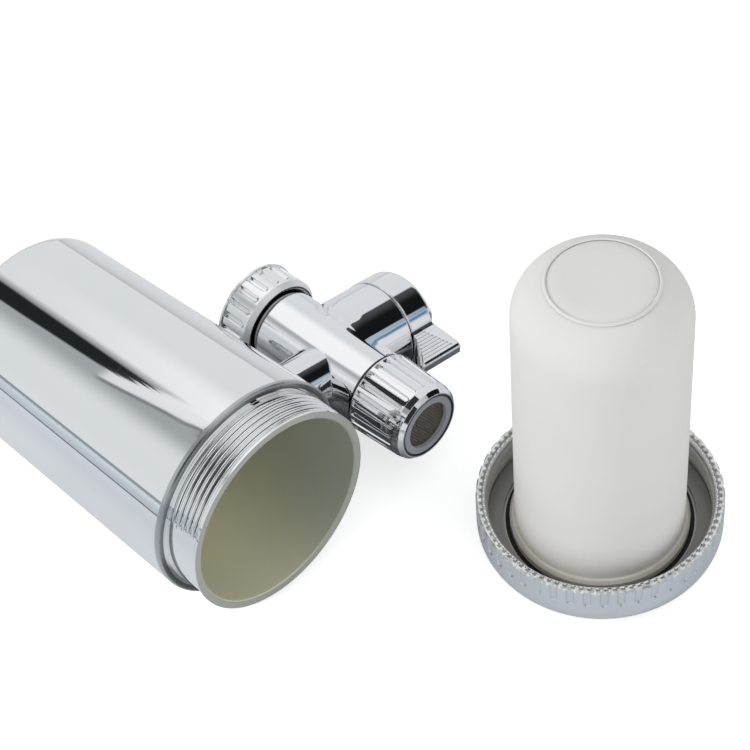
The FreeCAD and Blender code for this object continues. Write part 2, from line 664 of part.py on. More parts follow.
# Nozzle: a fluted shell on the lower end of the tube
nozzle = new_body("nozzle_shell")
ns = -size("nozzle_start")
ne = -size("nozzle_end")
NR = size("nozzle_radius")
low_r = size("nozzle_low_radius")
turned(nozzle, [
    (size("outlet_radius"), ns), (NR - 0.3, ns), (NR, ns - 0.3), (low_r, ne + 3.2),
    (low_r - 0.5, ne + 1.2), (size("nozzle_lip_radius"), ne), (size("nozzle_opening"), ne),
    (size("nozzle_opening"), ne + 1.5), (size("outlet_radius"), ne + 1.5)])
above = NR + 0.1
lean_run = (above - size("flute_floor")) * math.tan(math.radians(FLUTE_LEAN))
flute_top = size("flute_half") + lean_run
rib = slot_outline(nozzle, "XY_Plane", flute_top, ne + 3.4 + flute_top, ns - 0.6, above)
rib_cut = pocket(nozzle, rib, above - size("flute_floor"))
checked_cut(nozzle, sloped(rib_cut, -FLUTE_LEAN))
around(nozzle, rib_cut, body_axis(nozzle, "Y_Axis"), size("nozzle_flutes"))
keep(nozzle, VALVE)

# Washer, cup, flow disc and mesh of the outlet insert.
outlet_washer = new_body("outlet_washer")
insert_r = size("outlet_radius") - 0.2
cup_top = -size("outlet_end") - 1.8
turned(outlet_washer, [
    (W + 0.4, -size("outlet_end")), (insert_r, -size("outlet_end")), (insert_r, cup_top),
    (W + 0.4, cup_top)])
keep(outlet_washer, VALVE)

cup = new_body("aerator_cup")
ring_r = size("nozzle_opening") - 0.3
M = size("mesh_radius")
turned(cup, [
    (M, cup_top), (insert_r, cup_top), (insert_r, ne + 1.5), (ring_r, ne + 1.5), (ring_r, ne + 0.2),
    (size("mesh_opening"), ne + 0.2), (size("mesh_opening"), ne + 1.4), (M, ne + 1.4)])
keep(cup, VALVE)

flow = new_body("flow_disc")
turned(flow, [(0, 0), (M, 0), (M, -1.6), (0, -1.6)])
hole = disc(flow, "XZ_Plane", M * 0.6, 0, 1.1)
hole_cut = pocket(flow, hole, 6.0, midplane=True)
checked_cut(flow, hole_cut)
around(flow, hole_cut, body_axis(flow, "Y_Axis"), Q(8, "8"))
flow_base = FreeCAD.Vector(0, cup_top.value - 1.0, 0)
keep(flow, VALVE.multiply(FreeCAD.Placement(flow_base, FreeCAD.Rotation())))

mesh = new_body("aerator_mesh")
turned(mesh, [(0, ne + 1.4), (M, ne + 1.4), (M, ne + 1.8), (0, ne + 1.8)])
keep(mesh, VALVE)

# Screw cap
# A shallow bowl with a ring of round-ended flutes under its rim and a sunken
# underside, stepped inside for the gasket and for the candle's base.
cap = new_body("screw_cap")
CR = size("cap_radius")
CH = size("cap_height")
wall = size("cap_bore")
floor_z = size("cap_floor")
well_z = size("well_floor")
well_r = size("well_radius")
pipe_hole = size("pipe_radius") + 0.1
turned(cap, [
    (pipe_hole, size("under_recess")), (size("under_radius"), size("under_recess")),
    (size("under_radius"), 0), (CR, 0), (CR, CH - 0.4), (CR - 0.4, CH), (wall + 1.4, CH), (wall, CH - 1.4),
    (wall, floor_z), (well_r, floor_z), (well_r, well_z), (pipe_hole, well_z)], role="XZ_Plane")
round_edges(cap, size("cap_round"), ring_at("z", 0.0, CR))
lean_run = (size("grip_depth") + 0.1) * math.tan(math.radians(GRIP_LEAN))
grip_half = size("grip_width") * 0.5 + lean_run
grip = slot_outline(cap, "XZ_Plane", grip_half, size("grip_foot") + grip_half, CH + 1, CR + 0.1)
grip_cut = pocket(cap, grip, size("grip_depth") + 0.1)
checked_cut(cap, sloped(grip_cut, -GRIP_LEAN))
around(cap, grip_cut, body_axis(cap, "Z_Axis"), size("grip_count"))
keep(cap, CAP)

# Flat gasket on the cap's floor, where the canister's mouth seats.
gasket = new_body("cap_gasket")
turned(gasket, [
    (well_r + 0.6, floor_z), (wall - 0.2, floor_z), (wall - 0.2, floor_z + 1.0),
    (well_r + 0.6, floor_z + 1.0)], role="XZ_Plane")
keep(gasket, CAP)

# Candle and its base
# Seal: a thin rubber disc that covers the floor of the well under the base.
P = size("pipe_radius")
base_seal = new_body("base_seal")
turned(base_seal, [
    (P + 0.9, well_z), (well_r - 0.1, well_z), (well_r - 0.1, well_z + 0.8), (P + 0.9, well_z + 0.8)],
    role="XZ_Plane")
keep(base_seal, CAP)

# Base: a shallow dish glued under the ceramic, with the clean water's pipe.
base = new_body("candle_base")
B = size("base_radius")
bt = size("base_top")
X = size("candle_radius")
under = well_z + 0.8
turned(base, [
    (size("pipe_bore"), 0.6), (P, 0.6), (P, under), (B - 0.5, under), (B, under + 0.5),
    (B, bt - 1.2), (B - 0.7, bt - 0.2), (X + 0.4, bt), (X, bt - 0.3), (X, size("candle_seat")),
    (size("pipe_bore"), size("candle_seat"))], role="XZ_Plane")
keep(base, CAP)

# Hexagon nut on the pipe, in the recess under the cap.
nut = new_body("outlet_nut")
NT = size("nut_radius")
nut_low = size("under_recess") * 0.15
turned(nut, [
    (P, nut_low), (NT, nut_low), (NT, size("under_recess")), (P, size("under_recess"))],
    role="XZ_Plane")
flat = outline(nut, "XY_Plane", [
    (size("nut_flat"), -NT), (NT + 1, -NT), (NT + 1, NT), (size("nut_flat"), NT)])
flat_cut = pocket(nut, flat, size("under_recess") * 3, midplane=True)
checked_cut(nut, flat_cut)
around(nut, flat_cut, body_axis(nut, "Z_Axis"), Q(6, "6"))
keep(nut, CAP)

# Ceramic candle: a closed shell with a domed shoulder, open below.
candle = new_body("ceramic_candle")
top = size("candle_top")
seat_z = size("candle_seat")
inside = X - size("candle_wall")
ceiling = top - size("candle_wall")
turned(candle, [
    (0, top), (X, top), (X, seat_z), (inside, seat_z), (inside, ceiling - 8.0),
    (inside - 8.0, ceiling), (0, ceiling)], role="XZ_Plane")
round_edges(candle, size("candle_round"), ring_at("z", top, X))
keep(candle, CAP)

# Check and export
doc.recompute()
os.makedirs("parts", exist_ok=True)
bad = []
for item in doc.Objects:
    if "Invalid" in item.State or "Error" in item.State:
        bad.append("%s %s" % (item.Name, item.State))
if bad:
    raise ValueError("failed objects: " + ", ".join(bad))
for node in NODES:
    shape = node.Shape
    if shape.isNull() or not shape.isValid():
        raise ValueError("bad shape: " + node.Label)
    shape.exportStep("parts/%s.step" % node.Label)
    low_z = shape.BoundBox.ZMin
    high_z = shape.BoundBox.ZMax
    print("%-16s solids %d volume %9.1f z %.3f..%.3f" % (
        node.Label, len(shape.Solids), shape.Volume, low_z, high_z))
print("lean %.3f taper %.3f" % (math.degrees(lean), math.degrees(taper)))
print("middle %.3f %.3f far %.3f near %.3f" % (middle_x, middle_y, far_y, near_y))
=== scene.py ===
import json
import math

import bpy
from mathutils import Matrix, Vector

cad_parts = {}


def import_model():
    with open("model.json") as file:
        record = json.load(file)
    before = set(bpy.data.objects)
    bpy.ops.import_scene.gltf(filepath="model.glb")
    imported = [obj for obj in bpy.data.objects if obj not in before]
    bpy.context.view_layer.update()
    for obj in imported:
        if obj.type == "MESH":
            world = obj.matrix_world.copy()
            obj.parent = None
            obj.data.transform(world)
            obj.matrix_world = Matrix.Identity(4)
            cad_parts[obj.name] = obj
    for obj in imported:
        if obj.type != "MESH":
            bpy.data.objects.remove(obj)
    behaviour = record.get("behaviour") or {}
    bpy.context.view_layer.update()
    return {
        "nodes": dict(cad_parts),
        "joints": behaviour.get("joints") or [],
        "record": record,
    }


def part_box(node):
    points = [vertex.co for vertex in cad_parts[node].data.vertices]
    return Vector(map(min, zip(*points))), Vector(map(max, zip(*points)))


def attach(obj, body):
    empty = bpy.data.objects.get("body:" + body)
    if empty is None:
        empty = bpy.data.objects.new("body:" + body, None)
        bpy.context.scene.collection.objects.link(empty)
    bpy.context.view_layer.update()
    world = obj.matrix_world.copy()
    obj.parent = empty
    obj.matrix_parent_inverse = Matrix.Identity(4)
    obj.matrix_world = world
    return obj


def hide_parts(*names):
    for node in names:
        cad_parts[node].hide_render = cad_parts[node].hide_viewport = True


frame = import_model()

# Driving places, from the frame. TUBE points along the valve's tube to the tap, STEM
# out along the knob's stem, RISE across both and away from the table, and ACROSS
# level across the canister, towards the valve.
JOINTS = {joint["name"]: joint for joint in frame["joints"]}
MOUNTS = {mount["name"]: mount for mount in frame["record"]["mounts"]}
TUBE = Vector(JOINTS["collar_spin"]["axis"]).normalized()
STEM = -Vector(JOINTS["knob_turn"]["axis"]).normalized()
CROSSING = Vector(JOINTS["knob_turn"]["pos_m"])
RISE = STEM.cross(TUBE)
LEVEL = Vector((1.0, 0.0, 0.0))
UPRIGHT = Vector((0.0, 0.0, 1.0))
ACROSS = (LEVEL - TUBE * LEVEL.dot(TUBE)).normalized()
OUTLET = Vector(MOUNTS["clean_outlet"]["pos_m"])
CAP_CENTRE = Vector((OUTLET.x, OUTLET.y, 0.0))
CAP_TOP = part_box("screw_cap")[1].z

# The canister: the middle of its shoulder, reached from the valve's crossing, the
# neck that stands out of the shoulder, and the bare bore down to its floor
VALVE_REACH = 0.05865
VALVE_ALONG = 0.0275
CANISTER = CROSSING - STEM * VALVE_REACH - TUBE * VALVE_ALONG
NECK_ROOT = 0.0313
NECK_CREST = 0.0320
NECK_LENGTH = 0.0128
BORE_LIMIT = 0.0303
INNER_FLOOR = 0.0967

# Zones are low and high, and then how soft they are if they fade on both sides.
# On the canister: where the plastic is bare, the dull shoulder with painted shade in its
# corner, and the painted light and shade on the bare plastic across and along
BARE_BORE = (BORE_LIMIT, BORE_LIMIT + 0.0001)
BARE_DEPTH = (INNER_FLOOR, INNER_FLOOR + 0.0003)
BARE_RIM = (0.0001 - NECK_LENGTH, 0.0003 - NECK_LENGTH)
SHOULDER_ALONG = (-0.0006, 0.0012, 0.0006)
SHOULDER_START = (NECK_CREST + 0.0002, NECK_CREST + 0.0006)
SHOULDER_CORNER_SHADE = (NECK_CREST + 0.0004, NECK_CREST + 0.0028)
CREAM_LIGHT_ACROSS = (-0.010, 0.030)
CREAM_SHADE_ALONG = (-0.013, 0.034)

# Threads: root and crest radius, then pitch, start and length. Between its turns the
# neck's thread sinks under the neck's own wall.
NECK_SINK = 0.00006
NECK_RADII = (NECK_ROOT - NECK_SINK, NECK_CREST)
NECK_RUN = (0.00195, 0.0005, 0.0117)
CAP_RADII = (0.03316, 0.0325)
CAP_RUN = (0.00135, 0.0078, 0.0074)
COLLAR_RADII = (0.01186, 0.0113)
COLLAR_RUN = (0.0011, 0.0270, 0.0046)

# Flats on the neck's thread, in degrees round it from ACROSS over the top, where the
# mould's parting line wipes the thread away. The photograph shows the second one.
NECK_FLATS = ((331.0, 359.0), (160.0, 215.0))
SEEN_FLAT = NECK_FLATS[1][0]

# Painted shade in the neck thread's roots, by radius, and where it is left out: on the first turn
# along the neck, and in degrees beside the flat
SHADED_ROOT = (NECK_ROOT + 0.00009, NECK_ROOT + 0.00028)
FIRST_TURN = (0.0018, 0.0024)
BESIDE_FLAT = (math.radians(SEEN_FLAT - 11.0), math.radians(SEEN_FLAT - 3.0))

# Form of every thread: columns round it, rows in a pitch, how many pitches it takes to
# rise and to run out, the slope of its flanks, how far their feet are cut off, and the
# degrees over which a flat fades
THREAD_COLUMNS = 288
THREAD_ROWS = 14
RUN_IN = 1.3
RUN_OUT = 0.6
FLANK_SLOPE = 1.45
FLANK_SINK = 0.16
FLAT_FADE = 13.0

# The valve's ends, along the tube from the crossing, and the nozzle's opening, with the
# painted shade in the gaps beside the collar and the nozzle and round the grey ring in its mouth
COLLAR_FRONT = 0.0206
NOZZLE_START = 0.0220
NOZZLE_END = 0.0422
NOZZLE_OPENING = 0.0101
# Painted shade in the gaps beside the collar and the nozzle
COLLAR_GAP_SHADE = (COLLAR_FRONT - 0.0004, COLLAR_FRONT - 0.0001)
NOZZLE_GAP_SHADE = (-NOZZLE_START, -NOZZLE_START + 0.0010, 0.0001)
NOZZLE_MOUTH_SHADE = (-NOZZLE_END + 0.0001, -NOZZLE_END + 0.0008)
RING_GAP_SHADE = (NOZZLE_OPENING + 0.00035, NOZZLE_OPENING + 0.00055)

# Where the chest's round wall takes over from the tube's, out along the stem: the zone
# that is blended, the turn from one to the other, and how the turn lags high up. It is
# blended on the upper side only, and not close to the collar.
CHEST_ZONE = (0.0024, 0.0104, 0.0012)
CHEST_TURN = (-0.001, 0.005)
CHEST_LAG_HEIGHT = 0.0126
CHEST_LAG_SLOPE = 2.2
CHEST_LEAD = -0.002
CHEST_UPPER = (-0.001, 0.002)
CHEST_NEAR_SIDE = (0.0065, 0.0105)

# The knob's wing, from the stem towards the nozzle: its flank and the crease at its
# root, which gets painted shade, where its upper side and the knob's outer part begin, its draft,
# and the radius of the knob's edges and of the flank's
WING_FLANK = (0.0142, 0.0222, 0.0006)
WING_CREASE_SHADE = (0.0139, 0.0146, 0.0002)
WING_UPPER = (0.0, 0.001)
WING_OUTER = (0.0176, 0.0184)
WING_DRAFT = 0.13
SOFT_EDGE = 0.0009
CRISP_EDGE = 0.0002

# The collar's front bevel, along the tube, and by radius the edge of its bore and the
# line round it, with painted shade inside the lip and on the line
COLLAR_BEVEL = (COLLAR_FRONT + 0.0012, COLLAR_FRONT + 0.0018)
LIP_BORE = (0.0123, 0.0125)
LIP_SHADE_LINE = (0.01305, 0.01345, 0.0001)

# The cap's rim: its teeth with their height and columns, by radius the ring of gaps
# between them that get painted shade and where the outside begins, by height its top, which gets a
# painted highlight, and the levels of the wave and of the noise that make the painted shade in the gaps
# and the painted glints
TEETH = 92
TOOTH_HEIGHT = 0.00018
TOOTH_COLUMNS = 4
RIM_TEETH_SHADE = (0.0343, 0.0350, 0.0002)
RIM_INNER = (0.0342, 0.0344)
RIM_TOP = (CAP_TOP - 0.0007, CAP_TOP - 0.0003)
TOOTH_WAVE = (-0.3, 0.3)
RIM_GLINTS = (0.40, 0.62)

# The candle: the zone of painted light at its foot, by height, the level of the noise that makes
# pores, and the columns of its top's ring
CANDLE_FOOT_LIGHT = (0.010, 0.032)
PORE_LEVEL = (0.62, 0.8)
CROWN_COLUMNS = 120

# The nozzle's wire mesh: its place and reach, the wires' spacing and thickness, and how
# far they weave to each side
MESH_ALONG = 0.04065
MESH_RADIUS = 0.0080
MESH_PITCH = 0.00062
WIRE_RADIUS = 0.00013
WEAVE_LIFT = 0.00012

# Camera of the photograph
CAMERA_PLACE = Vector((-0.306704, -0.359080, 0.590058))
CAMERA_RIGHT = Vector((0.69623, -0.71575, -0.05451))
CAMERA_UP = Vector((0.56431, 0.49883, 0.65782))
CAMERA_LENS = 120.617
CAMERA_SENSOR = 36.0
CAMERA_SHIFT = (-0.02345, -0.01075)

# Where the set stands close over the table: middle and reach of each pool of painted
# shadow that the plating mirrors, with its full core as a share of the reach. Then the edge of the
# pale sheet that the set lies on, its dark seam, the duller part of the sheet to the
# left, how much the floor glows for the camera, and half its side.
BESIDE_VALVE = CROSSING - STEM * 0.016 - TUBE * 0.020
BELOW_WING = CROSSING + STEM * 0.036 - TUBE * 0.030
BEFORE_NECK = CANISTER - TUBE * 0.020 - STEM * 0.010
SHADOW_POOLS = ((BESIDE_VALVE, 0.040), (BELOW_WING, 0.026), (BEFORE_NECK, 0.030))
SHADOW_POOL_CORE = 0.3
SHEET_EDGE = -0.234
SHEET_STEP = (SHEET_EDGE - 0.004, SHEET_EDGE + 0.004)
SHEET_SEAM = (SHEET_EDGE - 0.008, SHEET_EDGE + 0.005, 0.003)
LEFT_OF_SET = (-0.16, -0.06)
FLOOR_GLOW = 0.62
FLOOR_HALF = 3.0

# Tones that are used more than once
BRIGHT = (0.84, 0.85, 0.87)
# Painted shade laid into gaps, crevices and creases, and how much of it is laid on
GAP_SHADE_TONE = (0.02, 0.022, 0.024)
GAP_SHADE_SHARE = 0.95
# Painted shadow in the pools on the table, and the tone of the sheet's seam
SHADOW_AND_SEAM_TONE = (0.10, 0.11, 0.12)


# Node graphs
class Graph:
    """Short names for the nodes of one material or of the world."""

    def __init__(self, tree):
        self.tree = tree

    def add(self, kind, **settings):
        node = self.tree.nodes.new(kind)
        for name, value in settings.items():
            setattr(node, name, value)
        return node

    def put(self, socket, value):
        """Links a value that varies to a socket, or sets a plain one on it."""
        if isinstance(value, bpy.types.NodeSocket):
            self.tree.links.new(value, socket)
        else:
            socket.default_value = value

    def math(self, operation, a, b=0.0):
        node = self.add("ShaderNodeMath", operation=operation)
        self.put(node.inputs[0], a)
        self.put(node.inputs[1], b)
        return node.outputs[0]

    def times(self, first, *others):
        """The product of two or more values."""
        for other in others:
            first = self.math("MULTIPLY", first, other)
        return first

    def most(self, first, *others):
        """The largest of two or more values."""
        for other in others:
            first = self.math("MAXIMUM", first, other)
        return first

    def inverse(self, value):
        """1 minus a value."""
        return self.math("SUBTRACT", 1.0, value)

    def smooth(self, value, low, high):
        """0 below low, 1 above high, smooth between."""
        node = self.add("ShaderNodeMapRange", interpolation_type="SMOOTHSTEP")
        self.put(node.inputs["Value"], value)
        node.inputs["From Min"].default_value = low
        node.inputs["From Max"].default_value = high
        return node.outputs["Result"]

    def fade(self, value, low, high):
        """1 below low, 0 above high, smooth between."""
        return self.inverse(self.smooth(value, low, high))

    def band(self, value, low, high, soft):
        """1 between low and high, fading to 0 over soft outside them."""
        rising = self.smooth(value, low - soft, low)
        falling = self.smooth(value, high, high + soft)
        return self.math("SUBTRACT", rising, falling)

    def spread(self, value, low, high):
        """Maps 0..1 to low..high."""
        node = self.add("ShaderNodeMapRange")
        self.put(node.inputs["Value"], value)
        node.inputs["To Min"].default_value = low
        node.inputs["To Max"].default_value = high
        return node.outputs["Result"]

    def vector(self, operation, a, b=(0.0, 0.0, 0.0)):
        node = self.add("ShaderNodeVectorMath", operation=operation)
        self.put(node.inputs[0], a)
        self.put(node.inputs[1], b)
        out = "Value" if operation in ("DOT_PRODUCT", "LENGTH", "DISTANCE") else "Vector"
        return node.outputs[out]

    def dot(self, a, b):
        return self.vector("DOT_PRODUCT", a, b)

    def split(self, vector):
        """A vector's x, y and z."""
        node = self.add("ShaderNodeSeparateXYZ")
        self.put(node.inputs[0], vector)
        return node.outputs

    def off_axis(self, place, axis, along):
        """From an axis through the origin straight out to a place along it."""
        node = self.add("ShaderNodeVectorMath", operation="SCALE")
        self.put(node.inputs[0], axis)
        self.put(node.inputs["Scale"], along)
        return self.vector("SUBTRACT", place, node.outputs["Vector"])

    def along_and_radial(self, place, axis):
        """How far along an axis through the origin a place is, and how far from it."""
        along = self.dot(place, axis)
        return along, self.vector("LENGTH", self.off_axis(place, axis, along))

    def mix(self, factor, a, b):
        """A colour between a, where the factor is 0, and b, where it is 1."""
        node = self.add("ShaderNodeMix", data_type="RGBA")
        self.put(node.inputs[0], factor)
        for socket, value in ((node.inputs[6], a), (node.inputs[7], b)):
            if isinstance(value, tuple) and len(value) == 3:
                value = (*value, 1.0)
            self.put(socket, value)
        return node.outputs[2]

    def vector_mix(self, factor, a, b):
        node = self.add("ShaderNodeMix", data_type="VECTOR")
        for socket, value in ((node.inputs[0], factor), (node.inputs[4], a), (node.inputs[5], b)):
            self.put(socket, value)
        return node.outputs[1]

    def shader_mix(self, factor, a, b):
        node = self.add("ShaderNodeMixShader")
        for socket, value in zip(node.inputs, (factor, a, b)):
            self.put(socket, value)
        return node.outputs[0]

    def noise(self, place, scale, detail=3.0, rough=0.5):
        node = self.add("ShaderNodeTexNoise")
        self.put(node.inputs["Vector"], place)
        node.inputs["Scale"].default_value = scale
        node.inputs["Detail"].default_value = detail
        node.inputs["Roughness"].default_value = rough
        return node.outputs["Fac"]

    def bump(self, height, strength, distance, normal=None):
        node = self.add("ShaderNodeBump")
        node.inputs["Strength"].default_value = strength
        node.inputs["Distance"].default_value = distance
        self.put(node.inputs["Height"], height)
        if normal is not None:
            self.put(node.inputs["Normal"], normal)
        return node.outputs["Normal"]

    def rounded(self, radius):
        """The surface's normal with its edges rounded over."""
        node = self.add("ShaderNodeBevel", samples=6)
        node.inputs["Radius"].default_value = radius
        return node.outputs["Normal"]

    def place(self, origin=None):
        """Where the surface is when the part is at rest, from the frame's or another origin."""
        place = self.add("ShaderNodeTexCoord").outputs["Object"]
        if origin is None:
            return place
        return self.vector("SUBTRACT", place, origin)


def material(name):
    """A new material with its Principled shader and a graph to fill in."""
    made = bpy.data.materials.new(name)
    made.use_nodes = True
    return made, *shader_parts(made)


def shader_parts(made):
    """A material's Principled shader and a graph to add to it."""
    return made.node_tree.nodes["Principled BSDF"], Graph(made.node_tree)


def fed(shader, name):
    """What a finished material already feeds to one of its shader's sockets."""
    return shader.inputs[name].links[0].from_socket


def tint(shader, g, mask, tone):
    """Lays a tone over a finished material's base colour where the mask is 1."""
    g.put(shader.inputs["Base Color"], g.mix(mask, fed(shader, "Base Color"), tone))


def darkened(colour, share):
    """A colour less a share of itself."""
    return tuple(c * (1.0 - share) for c in colour)


# Finishes
def chrome(name, colour, rough, edge, waviness=0.12, tone=0.03):
    """Bright plating on a moulding: soft edges, faint waves, faint haze and tone changes."""
    made, shader, g = material(name)
    place = g.place()
    haze = g.noise(place, scale=90.0, detail=4.0)
    smears = g.noise(place, scale=240.0)
    waves = g.noise(place, scale=55.0, detail=1.0)
    g.put(shader.inputs["Base Color"], g.mix(haze, darkened(colour, tone), colour))
    shader.inputs["Metallic"].default_value = 1.0
    g.put(shader.inputs["Roughness"], g.spread(smears, rough * 0.6, rough * 1.5))
    g.put(shader.inputs["Normal"], g.bump(waves, waviness, 0.0004, g.rounded(edge)))
    return made


def valve_chrome(colour):
    """The valve's plating: the chest runs softly into the top of the tube, and painted shade
    darkens the gaps beside the collar and the nozzle."""
    made = chrome("valve_finish", colour, 0.035, 0.0006)
    shader, g = shader_parts(made)
    place = g.place(CROSSING)
    out = g.dot(place, STEM)
    along = g.dot(place, TUBE)
    rise = g.dot(place, RISE)
    from_tube = g.vector("NORMALIZE", g.off_axis(place, TUBE, along))
    from_chest = g.vector("NORMALIZE", g.off_axis(place, STEM, out))
    lag = g.times(g.math("SUBTRACT", rise, CHEST_LAG_HEIGHT), CHEST_LAG_SLOPE)
    turn = g.smooth(g.math("SUBTRACT", out, g.most(lag, CHEST_LEAD)), *CHEST_TURN)
    blended = g.vector("NORMALIZE", g.vector_mix(turn, from_tube, from_chest))
    near = g.times(
        g.band(out, *CHEST_ZONE), g.smooth(rise, *CHEST_UPPER), g.fade(along, *CHEST_NEAR_SIDE))
    g.put(shader.inputs["Normal"], g.vector_mix(near, fed(shader, "Normal"), blended))
    # Painted shade in the gaps beside the collar and the nozzle
    gap_shade = g.most(g.smooth(along, *COLLAR_GAP_SHADE), g.band(along, *NOZZLE_GAP_SHADE))
    tint(shader, g, g.times(gap_shade, GAP_SHADE_SHARE), GAP_SHADE_TONE)
    return made


def collar_chrome(colour):
    """The collar's plating: satin on its front bevel, painted shade inside the lip."""
    made = chrome("collar_finish", colour, 0.10, 0.0003, 0.2, 0.06)
    shader, g = shader_parts(made)
    along, radial = g.along_and_radial(g.place(CROSSING), TUBE)
    front = g.fade(along, *COLLAR_BEVEL)
    # Painted shade inside the collar's lip and in the line round its bore
    lip_shade = g.most(g.fade(radial, *LIP_BORE), g.band(radial, *LIP_SHADE_LINE))
    satin = g.math("ADD", fed(shader, "Roughness"), g.times(front, 0.30))
    g.put(shader.inputs["Roughness"], satin)
    g.put(shader.inputs["Metallic"], g.spread(front, 1.0, 0.35))
    tint(shader, g, front, (0.93, 0.935, 0.94))
    tint(shader, g, g.times(lip_shade, front, GAP_SHADE_SHARE), GAP_SHADE_TONE)
    return made


def nozzle_chrome(colour):
    """The nozzle's plating, with painted shade in the gap round the grey ring in its mouth."""
    made = chrome("nozzle_finish", colour, 0.035, 0.0003)
    shader, g = shader_parts(made)
    along, radial = g.along_and_radial(g.place(CROSSING), TUBE)
    # Painted shade in the gap round the grey ring in the nozzle's mouth
    gap_shade = g.times(g.fade(along, *NOZZLE_MOUTH_SHADE), g.fade(radial, *RING_GAP_SHADE))
    tint(shader, g, g.times(gap_shade, GAP_SHADE_SHARE), GAP_SHADE_TONE)
    return made


def knob_chrome(colour):
    """The knob's plating. The wing's upper flank is drafted, so it leans a little, its
    ridges keep crisp edges, and the crease at its root gets painted shade."""
    made = chrome("knob_finish", colour, 0.035, 0.0008)
    shader, g = shader_parts(made)
    place = g.place(CROSSING)
    out = g.dot(place, STEM)
    outward = g.times(g.dot(place, TUBE), -1.0)
    upper = g.times(g.smooth(g.dot(place, RISE), *WING_UPPER), g.smooth(out, *WING_OUTER))
    flank = g.times(g.band(outward, *WING_FLANK), upper)
    # Painted shade in the crease at the wing's root
    crease_shade = g.times(g.band(outward, *WING_CREASE_SHADE), upper)
    tint(shader, g, g.times(crease_shade, GAP_SHADE_SHARE), (0.02, 0.02, 0.022))
    bevel = next(node for node in made.node_tree.nodes if node.bl_idname == "ShaderNodeBevel")
    g.put(bevel.inputs["Radius"], g.spread(flank, SOFT_EDGE, CRISP_EDGE))
    plain = fed(shader, "Normal")
    drafted = g.bump(g.times(out, WING_DRAFT), 1.0, 1.0, plain)
    g.put(shader.inputs["Normal"], g.vector_mix(flank, plain, drafted))
    return made


def thread_chrome():
    """Plating on the neck's thread: satin ridges with painted shade in their roots, left out
    on the first turn and beside the flat that the photograph shows."""
    made, shader, g = material("thread_finish")
    place = g.place()
    from_base = g.place(CANISTER)
    along, radial = g.along_and_radial(from_base, TUBE)
    first = g.fade(g.math("ABSOLUTE", along), *FIRST_TURN)
    angle = g.math("ARCTAN2", g.dot(from_base, ACROSS.cross(TUBE)), g.dot(from_base, ACROSS))
    # Painted shade in the thread's roots, left out on the first turn and beside the flat
    light = g.most(g.smooth(radial, *SHADED_ROOT), first, g.smooth(angle, *BESIDE_FLAT))
    bright = g.mix(g.noise(place, scale=120.0, detail=4.0), (0.80, 0.82, 0.83), (0.88, 0.89, 0.90))
    g.put(shader.inputs["Base Color"], g.mix(light, (0.035, 0.04, 0.045), bright))
    shader.inputs["Metallic"].default_value = 1.0
    g.put(shader.inputs["Roughness"], g.spread(g.noise(place, scale=300.0), 0.16, 0.26))
    grain = g.noise(place, scale=500.0, detail=2.0)
    g.put(shader.inputs["Normal"], g.bump(grain, 0.05, 0.0002))
    return made


def plain_plastic(name, light, dark, rough):
    """Unplated moulding: small tone changes and a fine grain."""
    made, shader, g = material(name)
    place = g.place()
    g.put(shader.inputs["Base Color"], g.mix(g.noise(place, scale=60.0), dark, light))
    g.put(shader.inputs["Roughness"], g.spread(g.noise(place, scale=150.0), rough * 0.85, rough * 1.15))
    grain = g.noise(place, scale=900.0, detail=2.0)
    g.put(shader.inputs["Normal"], g.bump(grain, 0.12, 0.00015))
    return made


def rubber(name, light, dark):
    """Matt black rubber with a faint bloom."""
    made, shader, g = material(name)
    place = g.place()
    g.put(shader.inputs["Base Color"], g.mix(g.noise(place, scale=180.0, detail=4.0), dark, light))
    g.put(shader.inputs["Roughness"], g.spread(g.noise(place, scale=70.0), 0.62, 0.85))
    grain = g.noise(place, scale=1400.0, detail=2.0)
    g.put(shader.inputs["Normal"], g.bump(grain, 0.2, 0.0001))
    return made


def turned_steel(name, colour, rough):
    """Plain steel with fine marks."""
    made, shader, g = material(name)
    stretched = g.vector("MULTIPLY", g.place(), (1400.0, 1400.0, 90.0))
    marks = g.noise(stretched, scale=1.0, detail=2.0)
    g.put(shader.inputs["Base Color"], g.mix(marks, darkened(colour, 0.2), colour))
    shader.inputs["Metallic"].default_value = 1.0
    g.put(shader.inputs["Roughness"], g.spread(marks, rough * 0.7, rough * 1.3))
    g.put(shader.inputs["Normal"], g.bump(marks, 0.15, 0.00008))
    return made


def cream_plastic(g, place, from_base, along, rim):
    """The canister's bare plastic: painted light, yellower, on the left, painted shade,
    greyer, on the right and towards the mouth, and grey on the rim."""
    cloud = g.noise(place, scale=28.0)
    # Painted light and shade: the bare plastic lit and yellower on the left, shaded and greyer on the
    # right
    lit_cream = g.mix(cloud, (0.92, 0.87, 0.61), (0.97, 0.93, 0.69))
    shaded_cream = g.mix(cloud, (0.45, 0.48, 0.40), (0.52, 0.55, 0.47))
    cream = g.mix(g.smooth(g.dot(from_base, ACROSS), *CREAM_LIGHT_ACROSS), lit_cream, shaded_cream)
    # Painted shade towards the mouth
    shaded = g.vector("MULTIPLY", cream, (0.70, 0.73, 0.76))
    cream = g.mix(g.smooth(along, *CREAM_SHADE_ALONG), shaded, cream)
    return g.mix(rim, cream, g.mix(cloud, (0.36, 0.38, 0.34), (0.42, 0.44, 0.40)))


